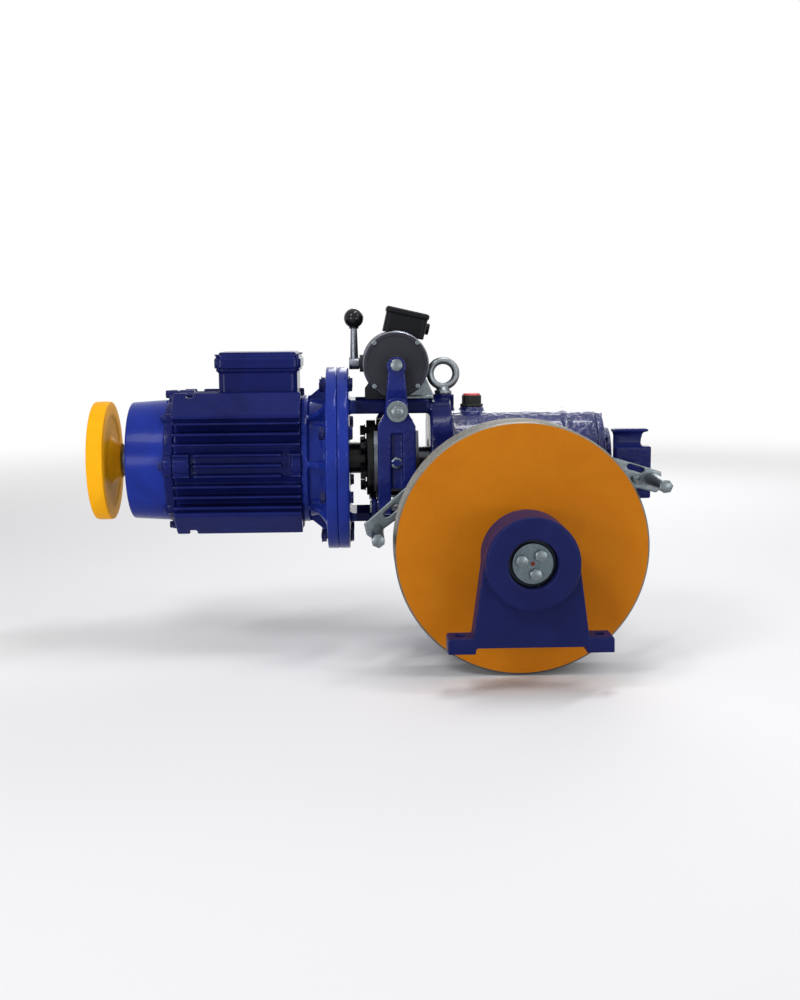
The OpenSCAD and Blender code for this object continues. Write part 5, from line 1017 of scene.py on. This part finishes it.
studSet = {"face": 152.3, "up": 90, "flats": 19, "nut": 9, "washer": (17.5, 3), "radius": 5, "length": 66,
           "tip": 8, "turn": 14}
studs = bmesh.new()
for side in (-1, 1):
    hexBolt(studs, (brakeMm, side * studSet["face"], wormMm + studSet["up"]), (0, side, 0), studSet["flats"],
            studSet["nut"], studSet["washer"], (studSet["radius"], studSet["length"]), turn=studSet["turn"],
            tip=studSet["tip"])
settle("springStuds", studs, "machine", ["spring_studs"], ["zincPlate"])

# coupling disc and brake drum
drums = readTable("node voxel rounds limit", [
    ("couplingDisc", "coupling_half", 1.5, 2, 80000), ("brakeDrum", "brake_drum", 1.5, 2, 90000)])
for name, item in drums.items():
    settle(name, soften(nodeMesh(item["node"]), item), "worm_line", [item["node"]], ["couplingBlack"], 180)
print("brake is done")


# oil filler cap
capSet = {"x": -59, "seat": 353, "radius": 17, "skirt": 4.5, "flutes": 12, "flute": 3, "fluteOut": 1.6,
          "fluteFrom": 7, "height": 19.9, "top": 3.2, "collar": 20, "collarHigh": 5, "neck": 13, "neckDeep": 16}


def mouldCap(values):
    radius, height, top, skirt = read(values, "radius height top skirt")
    neck, deep, collar, step = read(values, "neck neckDeep collar collarHigh")
    flute, start, circle = values["flute"], values["fluteFrom"], radius + values["fluteOut"]
    mesh = spinProfile([(skirt, 0), (skirt, radius, 0.8), (height, radius, 1.6), (height, 0)], 96)
    for i in range(values["flutes"]):
        turn = math.radians(360 / values["flutes"] * i)
        tool = spinProfile([(start, 0), (start, flute), (height + 2, flute), (height + 2, 0)], 20)
        shift(tool, circle * math.cos(turn), circle * math.sin(turn), 0)
        mesh = cutAway(mesh, tool)
    joinSpun(mesh, [(-deep, 0), (-deep, neck - 1), (1 - deep, neck), (0, neck), (0, collar, 0.8),
                    (step, collar, 1.2), (step, 0)], 72)
    low, high = height - 0.2, height + top
    joinSpun(mesh, [(low, 0), (low, radius - 1.2, 0.4), (high, radius - 3, 1.4), (high, 0)], 72, None, 1)
    shift(mesh, values["x"], 0, values["seat"])
    return mesh


settle("oilCap", mouldCap(capSet), "machine", ["oil_filler_cap"], ["capRubber", "capRed"])


# rope guard rods, each bolted behind the guard and closed by a nut in front
rodSet = {"guardY": -150, "plate": 6, "reach": 106, "radius": 10.4, "flats": 18, "head": 8, "washer": (11, 2),
          "shank": (6, 10), "turnSpan": 60, "endFlats": 19, "endNut": 5, "endTurnSpan": 47}
rods = bmesh.new()
for low, high in boxesOf("guard_rods"):
    x, z = (low.x + high.x) / 2, (low.z + high.z) / 2
    plate, reach, radius, seatY = read(rodSet, "plate reach radius guardY")
    joinSpun(rods, [(plate, 0), (plate, radius, 0.8), (reach, radius, 1.0), (reach, 0)], 48,
             stand((x, seatY, z), (0, -1, 0)))
    hexBolt(rods, (x, seatY, z), (0, 1, 0), rodSet["flats"], rodSet["head"], rodSet["washer"], rodSet["shank"],
            turn=x % rodSet["turnSpan"])
    joinMesh(rods, boltHead(rodSet["endFlats"], rodSet["endNut"]),
             stand((x, seatY - reach, z), (0, -1, 0), x % rodSet["endTurnSpan"]))
settle("guardRods", rods, "machine", ["guard_rods"], ["zincPlate"])
print("cap and rods are done")


# CAD nodes whose shape is right keep it and get a finish
kept = {
    "shaftTurned": "motor_shaft worm_shaft worm fast_bearing_rings fast_bearing_races slow_shaft pivot_pins"
                   " plunger_front plunger_rear",
    "wheelBronze": "worm_wheel",
    "castIron": "wheel_hub",
    "coreSheet": "stator_core rotor_core",
    "coilCopper": "stator_windings magnet_coils",
    "sealRubber": "shaft_seals terminal_block",
    "fanPlastic": "cooling_fan",
    "magnetPaint": "magnet_body",
    # the slow bearing rings take near-black steel as painted shade in the bore gap
    "darkSteel": "slow_bearing_rings slow_bearing_races",
}
for material, names in kept.items():
    for name in names.split():
        data = frame["nodes"][name].data
        data.materials.clear()
        data.materials.append(finish[material])
